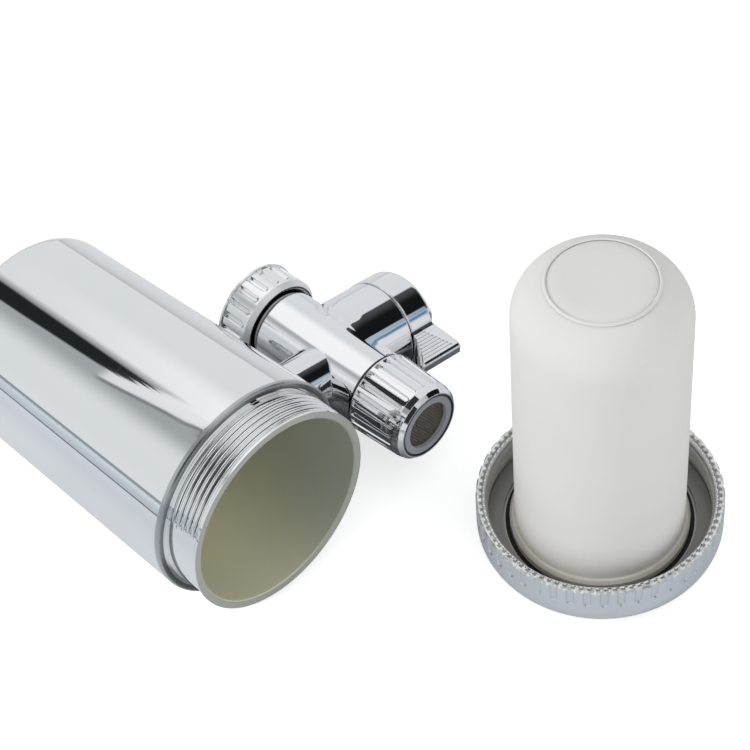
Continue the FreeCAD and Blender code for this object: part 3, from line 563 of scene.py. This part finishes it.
def canister_material():
    """Plated outside, duller on the shoulder with painted shade in its corner; cream plastic, with
    painted light and shade, in the bore and on the rim.
    """
    made, shader, g = material("canister_finish")
    place = g.place()
    from_base = g.place(CANISTER)
    along, radial = g.along_and_radial(from_base, TUBE)
    rim = g.fade(along, *BARE_RIM)
    bare = g.most(g.times(g.fade(radial, *BARE_BORE), g.fade(along, *BARE_DEPTH)), rim)
    step = g.times(g.band(along, *SHOULDER_ALONG), g.smooth(radial, *SHOULDER_START))
    shoulder = g.times(step, g.inverse(bare))
    # Painted shade in the shoulder's corner
    corner_shade = g.mix(g.smooth(radial, *SHOULDER_CORNER_SHADE), (0.09, 0.10, 0.10), (0.44, 0.46, 0.47))
    haze = g.noise(place, scale=60.0, detail=4.0)
    plated = g.mix(haze, (0.82, 0.835, 0.845), (0.85, 0.86, 0.87))
    plated = g.mix(g.times(shoulder, 0.85), plated, corner_shade)
    cream = cream_plastic(g, place, from_base, along, rim)
    g.put(shader.inputs["Base Color"], g.mix(bare, plated, cream))
    g.put(shader.inputs["Metallic"], g.inverse(bare))
    polish = g.spread(g.noise(place, scale=140.0), 0.015, 0.04)
    matt = g.most(g.times(bare, 0.36), g.times(shoulder, 0.22))
    g.put(shader.inputs["Roughness"], g.math("ADD", polish, matt))
    waves = g.noise(place, scale=35.0, detail=1.0)
    g.put(shader.inputs["Normal"], g.bump(waves, 0.03, 0.0003, g.rounded(0.0003)))
    return made


def ceramic():
    """Unglazed ceramic: warm white with painted light at its foot, fine pores, faint cloudiness."""
    made, shader, g = material("ceramic_finish")
    place = g.place()
    cloud = g.noise(place, scale=35.0, detail=4.0, rough=0.6)
    pores = g.noise(place, scale=2200.0, detail=2.0)
    body = g.mix(cloud, (0.73, 0.725, 0.705), (0.79, 0.785, 0.77))
    # Painted light at the candle's foot
    body = g.mix(g.fade(g.split(place)[2], *CANDLE_FOOT_LIGHT), body, (0.97, 0.96, 0.925))
    speck = g.times(g.smooth(pores, *PORE_LEVEL), 0.25)
    g.put(shader.inputs["Base Color"], g.mix(speck, body, (0.6, 0.59, 0.56)))
    g.put(shader.inputs["Roughness"], g.spread(cloud, 0.72, 0.86))
    shader.inputs["Specular IOR Level"].default_value = 0.3
    fine = g.bump(pores, 0.25, 0.00006)
    g.put(shader.inputs["Normal"], g.bump(g.noise(place, scale=300.0), 0.1, 0.0002, fine))
    return made


def rim_tones(g, place, from_middle, radial):
    """The cap's rim: a painted highlight with painted glints, and a ring of painted shade in the small
    gaps between its teeth.
    """
    x, y, _ = g.split(from_middle)
    wave = g.math("SINE", g.times(g.math("ARCTAN2", y, x), float(TEETH)))
    # Painted shade in the gaps between the teeth, painted glints and a painted highlight on the rim
    teeth_shade = g.times(g.smooth(wave, *TOOTH_WAVE), g.band(radial, *RIM_TEETH_SHADE))
    painted_glints = g.smooth(g.noise(place, scale=900.0, detail=1.0), *RIM_GLINTS)
    bright = g.mix(painted_glints, (0.58, 0.58, 0.56), (0.88, 0.88, 0.87))
    return g.mix(g.times(teeth_shade, 0.75), bright, (0.12, 0.12, 0.11))


def cap_material():
    """Satin plated plastic outside, duller and greener inside the bowl."""
    made, shader, g = material("cap_finish")
    place = g.place()
    from_middle = g.place(CAP_CENTRE)
    radial = g.vector("LENGTH", g.vector("MULTIPLY", from_middle, (1.0, 1.0, 0.0)))
    outside = g.smooth(radial, *RIM_INNER)
    cloud = g.noise(place, scale=80.0, detail=4.0)
    satin = g.mix(cloud, (0.57, 0.60, 0.64), (0.65, 0.68, 0.72))
    # The rim's top takes the painted highlight, glints and shade of rim_tones
    rim_top = g.smooth(g.split(place)[2], *RIM_TOP)
    satin = g.mix(rim_top, satin, rim_tones(g, place, from_middle, radial))
    dull = g.mix(cloud, (0.36, 0.36, 0.33), (0.43, 0.43, 0.40))
    g.put(shader.inputs["Base Color"], g.mix(outside, dull, satin))
    g.put(shader.inputs["Metallic"], g.spread(outside, 0.35, 0.75))
    g.put(shader.inputs["Roughness"], g.spread(g.noise(place, scale=300.0), 0.26, 0.36))
    g.put(shader.inputs["Normal"], g.bump(g.noise(place, scale=700.0), 0.1, 0.0002))
    return made


def make_finishes():
    """Every finish, by a short name."""
    return {
        "plated": chrome("plated_finish", BRIGHT, 0.035, 0.0003),
        "valve": valve_chrome(BRIGHT),
        "knob": knob_chrome(BRIGHT),
        "nozzle": nozzle_chrome(BRIGHT),
        "collar": collar_chrome((0.88, 0.89, 0.90)),
        "cream": plain_plastic(
            "cream_finish", (0.82, 0.80, 0.72), (0.76, 0.74, 0.66), 0.42),
        "white": plain_plastic(
            "white_plastic_finish", (0.72, 0.71, 0.67), (0.66, 0.65, 0.61), 0.45),
        "grey": plain_plastic(
            "grey_plastic_finish", (0.40, 0.42, 0.45), (0.32, 0.34, 0.37), 0.38),
        "rubber": rubber(
            "rubber_finish", (0.022, 0.022, 0.022), (0.012, 0.012, 0.012)),
        "gasket": plain_plastic(
            "gasket_finish", (0.29, 0.285, 0.265), (0.24, 0.235, 0.215), 0.32),
        "steel": turned_steel("steel_finish", (0.58, 0.58, 0.58), 0.3),
        "wire": turned_steel("wire_finish", (0.54, 0.49, 0.425), 0.4),
        "ceramic": ceramic(),
        "cap": cap_material(),
        "canister": canister_material(),
        "thread": thread_chrome(),
    }


# Which CAD nodes take which finish
DRESS = {
    "plated": ("knob_cover",),
    "nozzle": ("nozzle_shell",),
    "valve": ("valve_body",),
    "knob": ("knob",),
    "collar": ("collar_nut",),
    "canister": ("housing",),
    "cream": ("candle_base", "outlet_nut"),
    "white": ("valve_core", "stem_bush"),
    "grey": ("aerator_cup", "flow_disc"),
    "rubber": (
        "stub_seal", "port_seal", "stem_rings", "inlet_washer", "outlet_washer", "base_seal"),
    "gasket": ("cap_gasket",),
    "steel": ("snap_ring", "inlet_strainer", "knob_screw"),
    "wire": ("aerator_mesh",),
    "ceramic": ("ceramic_candle",),
    "cap": ("screw_cap",),
}


def dress_nodes(finishes):
    """Gives every CAD node its finish."""
    for name, nodes in DRESS.items():
        for node in nodes:
            mesh = frame["nodes"][node].data
            mesh.materials.clear()
            mesh.materials.append(finishes[name])


# Meshes
def mesh_object(name, vertices, faces, finish, body, sharp=40.0):
    """One closed or open mesh as a piece that rides on a body."""
    mesh = bpy.data.meshes.new(name)
    mesh.from_pydata(vertices, [], faces)
    mesh.update()
    thing = bpy.data.objects.new(name, mesh)
    bpy.context.scene.collection.objects.link(thing)
    mesh.materials.append(finish)
    mesh.polygons.foreach_set("use_smooth", [True] * len(mesh.polygons))
    mesh.set_sharp_from_angle(angle=math.radians(sharp))
    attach(thing, body)
    return thing


def grid_faces(rows, columns):
    """The faces of rows of points that each close on themselves."""
    faces = []
    for i in range(rows - 1):
        here = i * columns
        beyond = here + columns
        for j in range(columns):
            k = (j + 1) % columns
            faces.append((here + j, here + k, beyond + k, beyond + j))
    return faces


def left_by_flats(degrees, flats):
    """How much of a thread is left at an angle: 0 on a flat, 1 well away from one."""
    left = 1.0
    for first, last in flats:
        middle = (first + last) / 2
        away = abs((degrees - middle + 180) % 360 - 180) - (last - first) / 2
        share = max(0.0, min(1.0, away / FLAT_FADE))
        left = min(left, share * share * (3 - 2 * share))
    return left


def thread(name, spot, radii, run, finish, body, flats=()):
    """A screw thread as one skin over a round wall. spot is its base, axis and side,
    radii its root and crest, in either order, and run its pitch, start and length."""
    base, axis, across = spot
    root, crest = radii
    pitch, start, length = run
    upward = axis.cross(across)
    rows = int(length / pitch * THREAD_ROWS) + 1
    vertices = []
    for i in range(rows):
        s = start + length * i / (rows - 1)
        ends = min(1.0, (s - start) / (pitch * RUN_IN), (start + length - s) / (pitch * RUN_OUT))
        for j in range(THREAD_COLUMNS):
            angle = 2 * math.pi * j / THREAD_COLUMNS
            phase = (s / pitch - angle / (2 * math.pi)) % 1.0
            ridge = min(1.0, max(0.0, (1.0 - abs(2 * phase - 1)) * FLANK_SLOPE - FLANK_SINK))
            left = left_by_flats(math.degrees(angle), flats)
            radius = root + (crest - root) * ridge * ends * left
            side = across * math.cos(angle) + upward * math.sin(angle)
            vertices.append(base + axis * s + side * radius)
    faces = grid_faces(rows, THREAD_COLUMNS)
    mesh_object(name, vertices, faces, finish, body, 60.0)


def threads(finishes):
    """The threads on the canister's neck and in the bores of the cap and the collar."""
    thread("neck_thread", (CANISTER, -TUBE, ACROSS), NECK_RADII, NECK_RUN,
           finishes["thread"], "filter_set", NECK_FLATS)
    thread("cap_thread", (CAP_CENTRE, UPRIGHT, LEVEL), CAP_RADII, CAP_RUN,
           finishes["cap"], "filter_set")
    thread("collar_thread", (CROSSING, TUBE, STEM), COLLAR_RADII, COLLAR_RUN,
           finishes["collar"], "tap_collar")


def wire(points, side, vertices, faces):
    """Adds one wire of the nozzle's mesh: a square tube along its points."""
    first = len(vertices)
    for middle in points:
        for c in range(4):
            turn = math.pi / 2 * c + math.pi / 4
            vertices.append(middle + (side * math.cos(turn) + TUBE * math.sin(turn)) * WIRE_RADIUS)
    for k in range(len(points) - 1):
        a = first + k * 4
        for c in range(4):
            n = (c + 1) % 4
            faces.append((a + c, a + n, a + 4 + n, a + 4 + c))


def woven_mesh(finish):
    """The nozzle's wire mesh: two sets of crossing wires that weave over and under."""
    centre = CROSSING - TUBE * MESH_ALONG
    count = int(MESH_RADIUS / MESH_PITCH)
    vertices = []
    faces = []
    for direction, side, flip in ((STEM, RISE, 0), (RISE, STEM, 1)):
        for i in range(-count, count + 1):
            offset = i * MESH_PITCH
            half = math.sqrt(max(MESH_RADIUS ** 2 - offset ** 2, 0.0))
            steps = max(2, int(half * 2 / MESH_PITCH * 2))
            points = []
            for k in range(steps + 1):
                t = -half + 2 * half * k / steps
                lift = WEAVE_LIFT * math.cos(math.pi * (t / MESH_PITCH + i + flip))
                points.append(centre + direction * t + side * offset + TUBE * lift)
            wire(points, side, vertices, faces)
    made = mesh_object("mouth_mesh", vertices, faces, finish, "filter_set", 70.0)
    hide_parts("aerator_mesh")


def ring(name, top, profile, columns, finish):
    """A trim ring round the cap's middle. Each point of its profile is a radius, a
    height from top and the share of the teeth's height there."""
    vertices = []
    for radius, lift, share in profile:
        for j in range(columns):
            angle = 2 * math.pi * j / columns
            tooth = TOOTH_HEIGHT * share * math.cos(angle * TEETH)
            out = radius + tooth
            height = top + lift + tooth - TOOTH_HEIGHT * share
            vertices.append(
                CAP_CENTRE + Vector((out * math.cos(angle), out * math.sin(angle), height)))
    faces = grid_faces(len(profile), columns)
    mesh_object(name, vertices, faces, finish, "filter_set")


def crown_ring(finish):
    """The thin ring moulded on the candle's flat top."""
    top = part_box("ceramic_candle")[1].z
    profile = (
        (0.0150, -0.0003, 0.0), (0.0153, 0.0, 0.0), (0.0156, -0.0001, 0.0), (0.0159, -0.0006, 0.0))
    ring("crown_ring", top, profile, CROWN_COLUMNS, finish)


def rim_beads(finish):
    """Small teeth along the inner edge of the cap's rim."""
    profile = (
        (0.0331, -0.0011, 0.0), (0.0333, -0.0005, 0.6), (0.0337, -0.0001, 1.0), (0.0341, -0.0004, 0.3))
    ring("rim_beads", CAP_TOP, profile, TEETH * TOOTH_COLUMNS, finish)


def build_pieces(finishes):
    threads(finishes)
    woven_mesh(finishes["wire"])
    crown_ring(finishes["ceramic"])
    rim_beads(finishes["plated"])


# Floor
def mirrored_table(g, grain):
    """The table as the plating mirrors it: pools of painted shadow where the set stands
    close over it, duller to the left, darker beyond the pale sheet, and a dark seam at its edge."""
    mirrored = g.mix(grain, (0.80, 0.82, 0.84), (0.83, 0.85, 0.87))
    # Pools of painted shadow on the table, seen only in the plating
    for spot, reach in SHADOW_POOLS:
        away = g.vector("DISTANCE", g.place(), Vector((spot.x, spot.y, 0.0)))
        near = g.fade(away, reach * SHADOW_POOL_CORE, reach)
        mirrored = g.mix(g.times(near, 0.85), mirrored, SHADOW_AND_SEAM_TONE)
    x = g.split(g.place())[0]
    mirrored = g.mix(g.fade(x, *LEFT_OF_SET), mirrored, (0.635, 0.665, 0.70))
    mirrored = g.mix(g.fade(x, *SHEET_STEP), mirrored, (0.46, 0.50, 0.53))
    return g.mix(g.times(g.band(x, *SHEET_SEAM), 0.95), mirrored, SHADOW_AND_SEAM_TONE)


def floor_material():
    """White where the camera looks, with the object's shadow, and toned in the plating."""
    made = bpy.data.materials.new("floor_finish")
    made.use_nodes = True
    made.node_tree.nodes.clear()
    g = Graph(made.node_tree)
    rays = g.add("ShaderNodeLightPath")
    grain = g.noise(g.place(), scale=40.0, detail=2.0)
    pale = g.mix(grain, (0.80, 0.80, 0.80), (0.82, 0.82, 0.82))
    plain = g.add("ShaderNodeBsdfDiffuse")
    g.put(plain.inputs["Color"], g.mix(rays.outputs["Is Glossy Ray"], pale, mirrored_table(g, grain)))
    glow = g.add("ShaderNodeEmission")
    seen = g.most(rays.outputs["Is Camera Ray"], rays.outputs["Is Transmission Ray"])
    g.put(glow.inputs["Strength"], g.times(seen, FLOOR_GLOW))
    both = g.add("ShaderNodeAddShader")
    g.put(both.inputs[0], plain.outputs[0])
    g.put(both.inputs[1], glow.outputs[0])
    g.put(g.add("ShaderNodeOutputMaterial").inputs["Surface"], both.outputs[0])
    return made


def floor():
    """A plain pale floor."""
    half = FLOOR_HALF
    corners = [(-half, -half, 0), (half, -half, 0), (half, half, 0), (-half, half, 0)]
    mesh = bpy.data.meshes.new("floor")
    mesh.from_pydata(corners, [], [(0, 1, 2, 3)])
    mesh.materials.append(floor_material())
    thing = bpy.data.objects.new("floor", mesh)
    bpy.context.scene.collection.objects.link(thing)


# Studio, as zones of the x, y and z of the direction in which the plating looks
OVERHEAD = (0.05, 0.2)

# The stand: where its sides start from, how they slant, and its ragged lower end
STAND_TONE = (0.016, 0.020, 0.020)
STAND_FROM = 0.69
STAND_LEFT = (-0.262, -0.232)
STAND_LEFT_SLANT = 2.1
STAND_RIGHT = (-0.058, -0.010)
STAND_RIGHT_GLOW = (-0.020, 0.085)
STAND_RIGHT_SLANT = 0.6
STAND_END = (0.6450, 0.6470)
STAND_END_SLANT = 0.09
STAND_RAGGED = 0.016

# Its grey flank: the level above which it is wide, where it starts and stops across when
# wide and when narrow, and its lower end
FLANK_LEVEL = (0.590, 0.606)
FLANK_WIDE = ((-0.60, -0.30), (-0.12, 0.0))
FLANK_NARROW = ((-0.60, -0.46), (-0.42, -0.33))
FLANK_LOW = (0.50, 0.53)

# The soft box: its glow, which on the left doesn't reach as high. Then its slanted left
# side with the dark line, how far that reaches, and the box's dark core.
GLOW_UPWARD = (0.585, 0.710)
GLOW_RIGHTWARD = (0.28, 0.60)
GLOW_LOW = (0.36, 0.40)
GLOW_START = (-0.36, -0.27)
GLOW_LEFT_PART = (-0.02, 0.04)
GLOW_LEFT_TOP = (0.600, 0.612)
PANEL_FROM = 0.662
PANEL_SLANT = 7.0
PANEL_EDGE = (-0.318, -0.302)
PANEL_LINE = (-0.352, -0.326, 0.014)
PANEL_STOP = (0.0, 0.05)
PANEL_PALER = (-0.25, 0.0)
PANEL_LOW = (0.6285, 0.6315)
PANEL_HIGH = (0.6625, 0.6645)
BOX_CORE = ((-0.225, -0.05, 0.02), (0.602, 0.6282, 0.002))

# The arms with the haze beside them, the doorway, where it gets lighter towards its
# top, and the blue band below it
ARM_TONE = (0.030, 0.034, 0.036)
ARMS = (
    ((-0.34, -0.05, 0.05), (0.41, 0.495, 0.02)),
    ((-0.62, -0.02, 0.05), (-1.1, -0.70, 0.03)),
    ((-0.42, 0.22, 0.03), (-0.14, 0.20, 0.03)))
ARM_HAZE = ((-0.62, -0.36, 0.06), (-0.12, 0.15, 0.08))
DOORWAY = (
    ((0.66, 1.1, 0.03), (-0.575, 0.095, 0.04), (0.20, 0.85, 0.05)),
    ((0.43, 0.70, 0.03), (-0.63, -0.545, 0.02), (0.45, 0.75, 0.04)),
    ((0.86, 1.1, 0.02), (-0.45, -0.28, 0.03), (0.10, 0.30, 0.04)))
DOOR_LIGHTER = (-0.27, 0.08)
BLUE_BAND = ((0.58, 0.78, 0.02), (-0.72, -0.595, 0.02), (0.15, 0.5, 0.03))


def box_mask(g, parts, limits):
    """1 where each direction component lies between its limits: (low, high, soft)."""
    return g.times(*(g.band(part, *limit) for part, limit in zip(parts, limits)))


def from_to(g, value, start, stop):
    """Rises from 0 to 1 over the start zone and falls to 0 over the stop zone."""
    return g.times(g.smooth(value, *start), g.fade(value, *stop))


def stand_mask(g, x, y):
    """The dark stand overhead: crisp and slanted on the left, soft on the right."""
    drop = g.math("SUBTRACT", STAND_FROM, y)
    left = g.smooth(g.math("SUBTRACT", x, g.times(drop, STAND_LEFT_SLANT)), *STAND_LEFT)
    shifted = g.math("SUBTRACT", x, g.times(drop, STAND_RIGHT_SLANT))
    near = g.times(g.smooth(shifted, *STAND_RIGHT), 0.45)
    far = g.times(g.smooth(shifted, *STAND_RIGHT_GLOW), 0.55)
    return g.times(left, g.inverse(g.math("ADD", near, far)))


def stand_end(g, way, x, y):
    """1 above the stand's lower end, which slants and is a little ragged, 0 below it."""
    ragged = g.times(g.math("SUBTRACT", g.noise(way, scale=42.0), 0.5), STAND_RAGGED)
    level = g.math("ADD", g.math("ADD", y, ragged), g.times(x, STAND_END_SLANT))
    return g.smooth(level, *STAND_END)


def stand_flank(g, colour, x, y, above):
    """The stand's soft grey flank, wide above and narrow low down."""
    upper = g.smooth(y, *FLANK_LEVEL)
    wide = g.times(from_to(g, x, *FLANK_WIDE), upper)
    narrow = g.times(from_to(g, x, *FLANK_NARROW), g.inverse(upper))
    narrow = g.times(narrow, 0.85, g.smooth(y, *FLANK_LOW))
    flank = g.times(g.math("ADD", wide, narrow), above, 0.94)
    return g.mix(flank, colour, (0.37, 0.395, 0.405))


def soft_box(g, colour, x, y, above):
    """The white soft box: bright low down, its glow fading upward and to the right."""
    glow = g.times(
        g.fade(y, *GLOW_UPWARD), g.fade(x, *GLOW_RIGHTWARD), g.smooth(y, *GLOW_LOW), above)
    high_part = g.most(g.smooth(x, *GLOW_LEFT_PART), g.fade(y, *GLOW_LEFT_TOP))
    glow = g.times(glow, g.smooth(x, *GLOW_START), high_part)
    return g.mix(glow, colour, (1.06, 1.065, 1.065))


def soft_box_side(g, colour, x, y, below):
    """The soft box's slanted left side with a thin dark line, seen on the canister."""
    side = g.math("ADD", x, g.times(g.math("SUBTRACT", y, PANEL_FROM), PANEL_SLANT))
    panel = g.times(g.smooth(side, *PANEL_EDGE), below, g.fade(x, *PANEL_STOP))
    pale = g.mix(g.smooth(x, *PANEL_PALER), (0.845, 0.85, 0.855), (0.91, 0.915, 0.92))
    line = g.times(g.band(side, *PANEL_LINE), below, 0.75)
    return g.mix(line, g.mix(panel, colour, pale), (0.16, 0.17, 0.18))


def arms(g, colour, x, y, above):
    """Dark arms below the soft box, seen on the nozzle and in rounded edges."""
    haze = g.times(box_mask(g, (x, y), ARM_HAZE), above, 0.8)
    colour = g.mix(haze, colour, (0.24, 0.25, 0.26))
    arm = g.most(*(box_mask(g, (x, y), limits) for limits in ARMS))
    return g.mix(g.times(arm, above), colour, ARM_TONE)


def doorway(g, colour, way, x, y, z):
    """A dark doorway at the right, lighter towards its top, and a blue band below it."""
    door = g.most(*(box_mask(g, (x, y, z), limits) for limits in DOORWAY))
    depth = g.mix(g.smooth(y, *DOOR_LIGHTER), (0.008, 0.009, 0.009), (0.075, 0.080, 0.080))
    colour = g.mix(door, colour, depth)
    streak = g.smooth(g.noise(way, scale=16.0), 0.35, 0.62)
    blue = g.mix(streak, (0.10, 0.22, 0.36), (0.50, 0.58, 0.66))
    return g.mix(box_mask(g, (x, y, z), BLUE_BAND), colour, blue)


def studio_colour(g, way):
    """What bright plating sees round the set: pale walls and ceiling, a dark stand
    overhead with a white soft box below it, dark arms in front of that, and a dark
    doorway at the right."""
    x, y, z = g.split(way)
    above = g.smooth(z, *OVERHEAD)
    cloud = g.noise(way, scale=3.0, detail=2.0)
    colour = g.mix(cloud, (0.765, 0.795, 0.815), (0.825, 0.845, 0.855))
    colour = stand_flank(g, colour, x, y, above)
    colour = soft_box(g, colour, x, y, above)
    end = stand_end(g, way, x, y)
    below = g.times(g.inverse(end), g.smooth(y, *PANEL_LOW), above, g.fade(y, *PANEL_HIGH))
    colour = soft_box_side(g, colour, x, y, below)
    core = g.times(box_mask(g, (x, y), BOX_CORE), above)
    colour = g.mix(core, colour, (0.02, 0.022, 0.022))
    colour = g.mix(g.times(stand_mask(g, x, y), end, above), colour, STAND_TONE)
    colour = arms(g, colour, x, y, above)
    return doorway(g, colour, way, x, y, z)


def world():
    """White behind the set, a plain level on matt surfaces, the studio in plating."""
    scene_world = bpy.data.worlds.new("studio")
    bpy.context.scene.world = scene_world
    scene_world.use_nodes = True
    scene_world.node_tree.nodes.clear()
    g = Graph(scene_world.node_tree)
    way = g.add("ShaderNodeTexCoord").outputs["Generated"]
    rays = g.add("ShaderNodeLightPath")
    soft = g.add("ShaderNodeBackground")
    soft.inputs["Color"].default_value = (0.68, 0.685, 0.69, 1.0)
    shiny = g.add("ShaderNodeBackground")
    g.put(shiny.inputs["Color"], studio_colour(g, way))
    white = g.add("ShaderNodeBackground")
    white.inputs["Color"].default_value = (1.0, 1.0, 1.0, 1.0)
    seen = g.most(rays.outputs["Is Camera Ray"], rays.outputs["Is Transmission Ray"])
    lit = g.shader_mix(rays.outputs["Is Glossy Ray"], soft.outputs[0], shiny.outputs[0])
    shown = g.shader_mix(seen, lit, white.outputs[0])
    g.put(g.add("ShaderNodeOutputWorld").inputs["Surface"], shown)


def lamp(name, place, aim, size, watts):
    """A round lamp that lights matt surfaces and isn't mirrored in the plating."""
    data = bpy.data.lights.new(name, "AREA")
    data.shape = "DISK"
    data.size = size
    data.energy = watts
    thing = bpy.data.objects.new(name, data)
    bpy.context.scene.collection.objects.link(thing)
    thing.location = place
    thing.rotation_mode = "QUATERNION"
    thing.rotation_quaternion = (Vector(aim) - Vector(place)).to_track_quat("-Z", "Y")
    thing.visible_glossy = False
    thing.visible_camera = False


def lamps():
    middle = (0.0, 0.0, 0.04)
    lamp("key_left", (-0.70, 0.42, 0.55), middle, 0.5, 4.0)
    lamp("fill_front", (0.10, -0.95, 0.40), middle, 0.6, 1.5)


def camera():
    """The photograph's camera."""
    data = bpy.data.cameras.new("camera")
    data.sensor_width = CAMERA_SENSOR
    data.lens = CAMERA_LENS
    data.shift_x, data.shift_y = CAMERA_SHIFT
    data.clip_start = 0.01
    data.clip_end = 20.0
    thing = bpy.data.objects.new("camera", data)
    bpy.context.scene.collection.objects.link(thing)
    right = CAMERA_RIGHT.normalized()
    up = (CAMERA_UP - right * CAMERA_UP.dot(right)).normalized()
    back = right.cross(up)
    turn = Matrix((right, up, back)).transposed()
    thing.matrix_world = Matrix.Translation(CAMERA_PLACE) @ turn.to_4x4()
    bpy.context.scene.camera = thing


bpy.context.scene.view_settings.view_transform = "Standard"
camera()
made_finishes = make_finishes()
dress_nodes(made_finishes)
build_pieces(made_finishes)
floor()
world()
lamps()
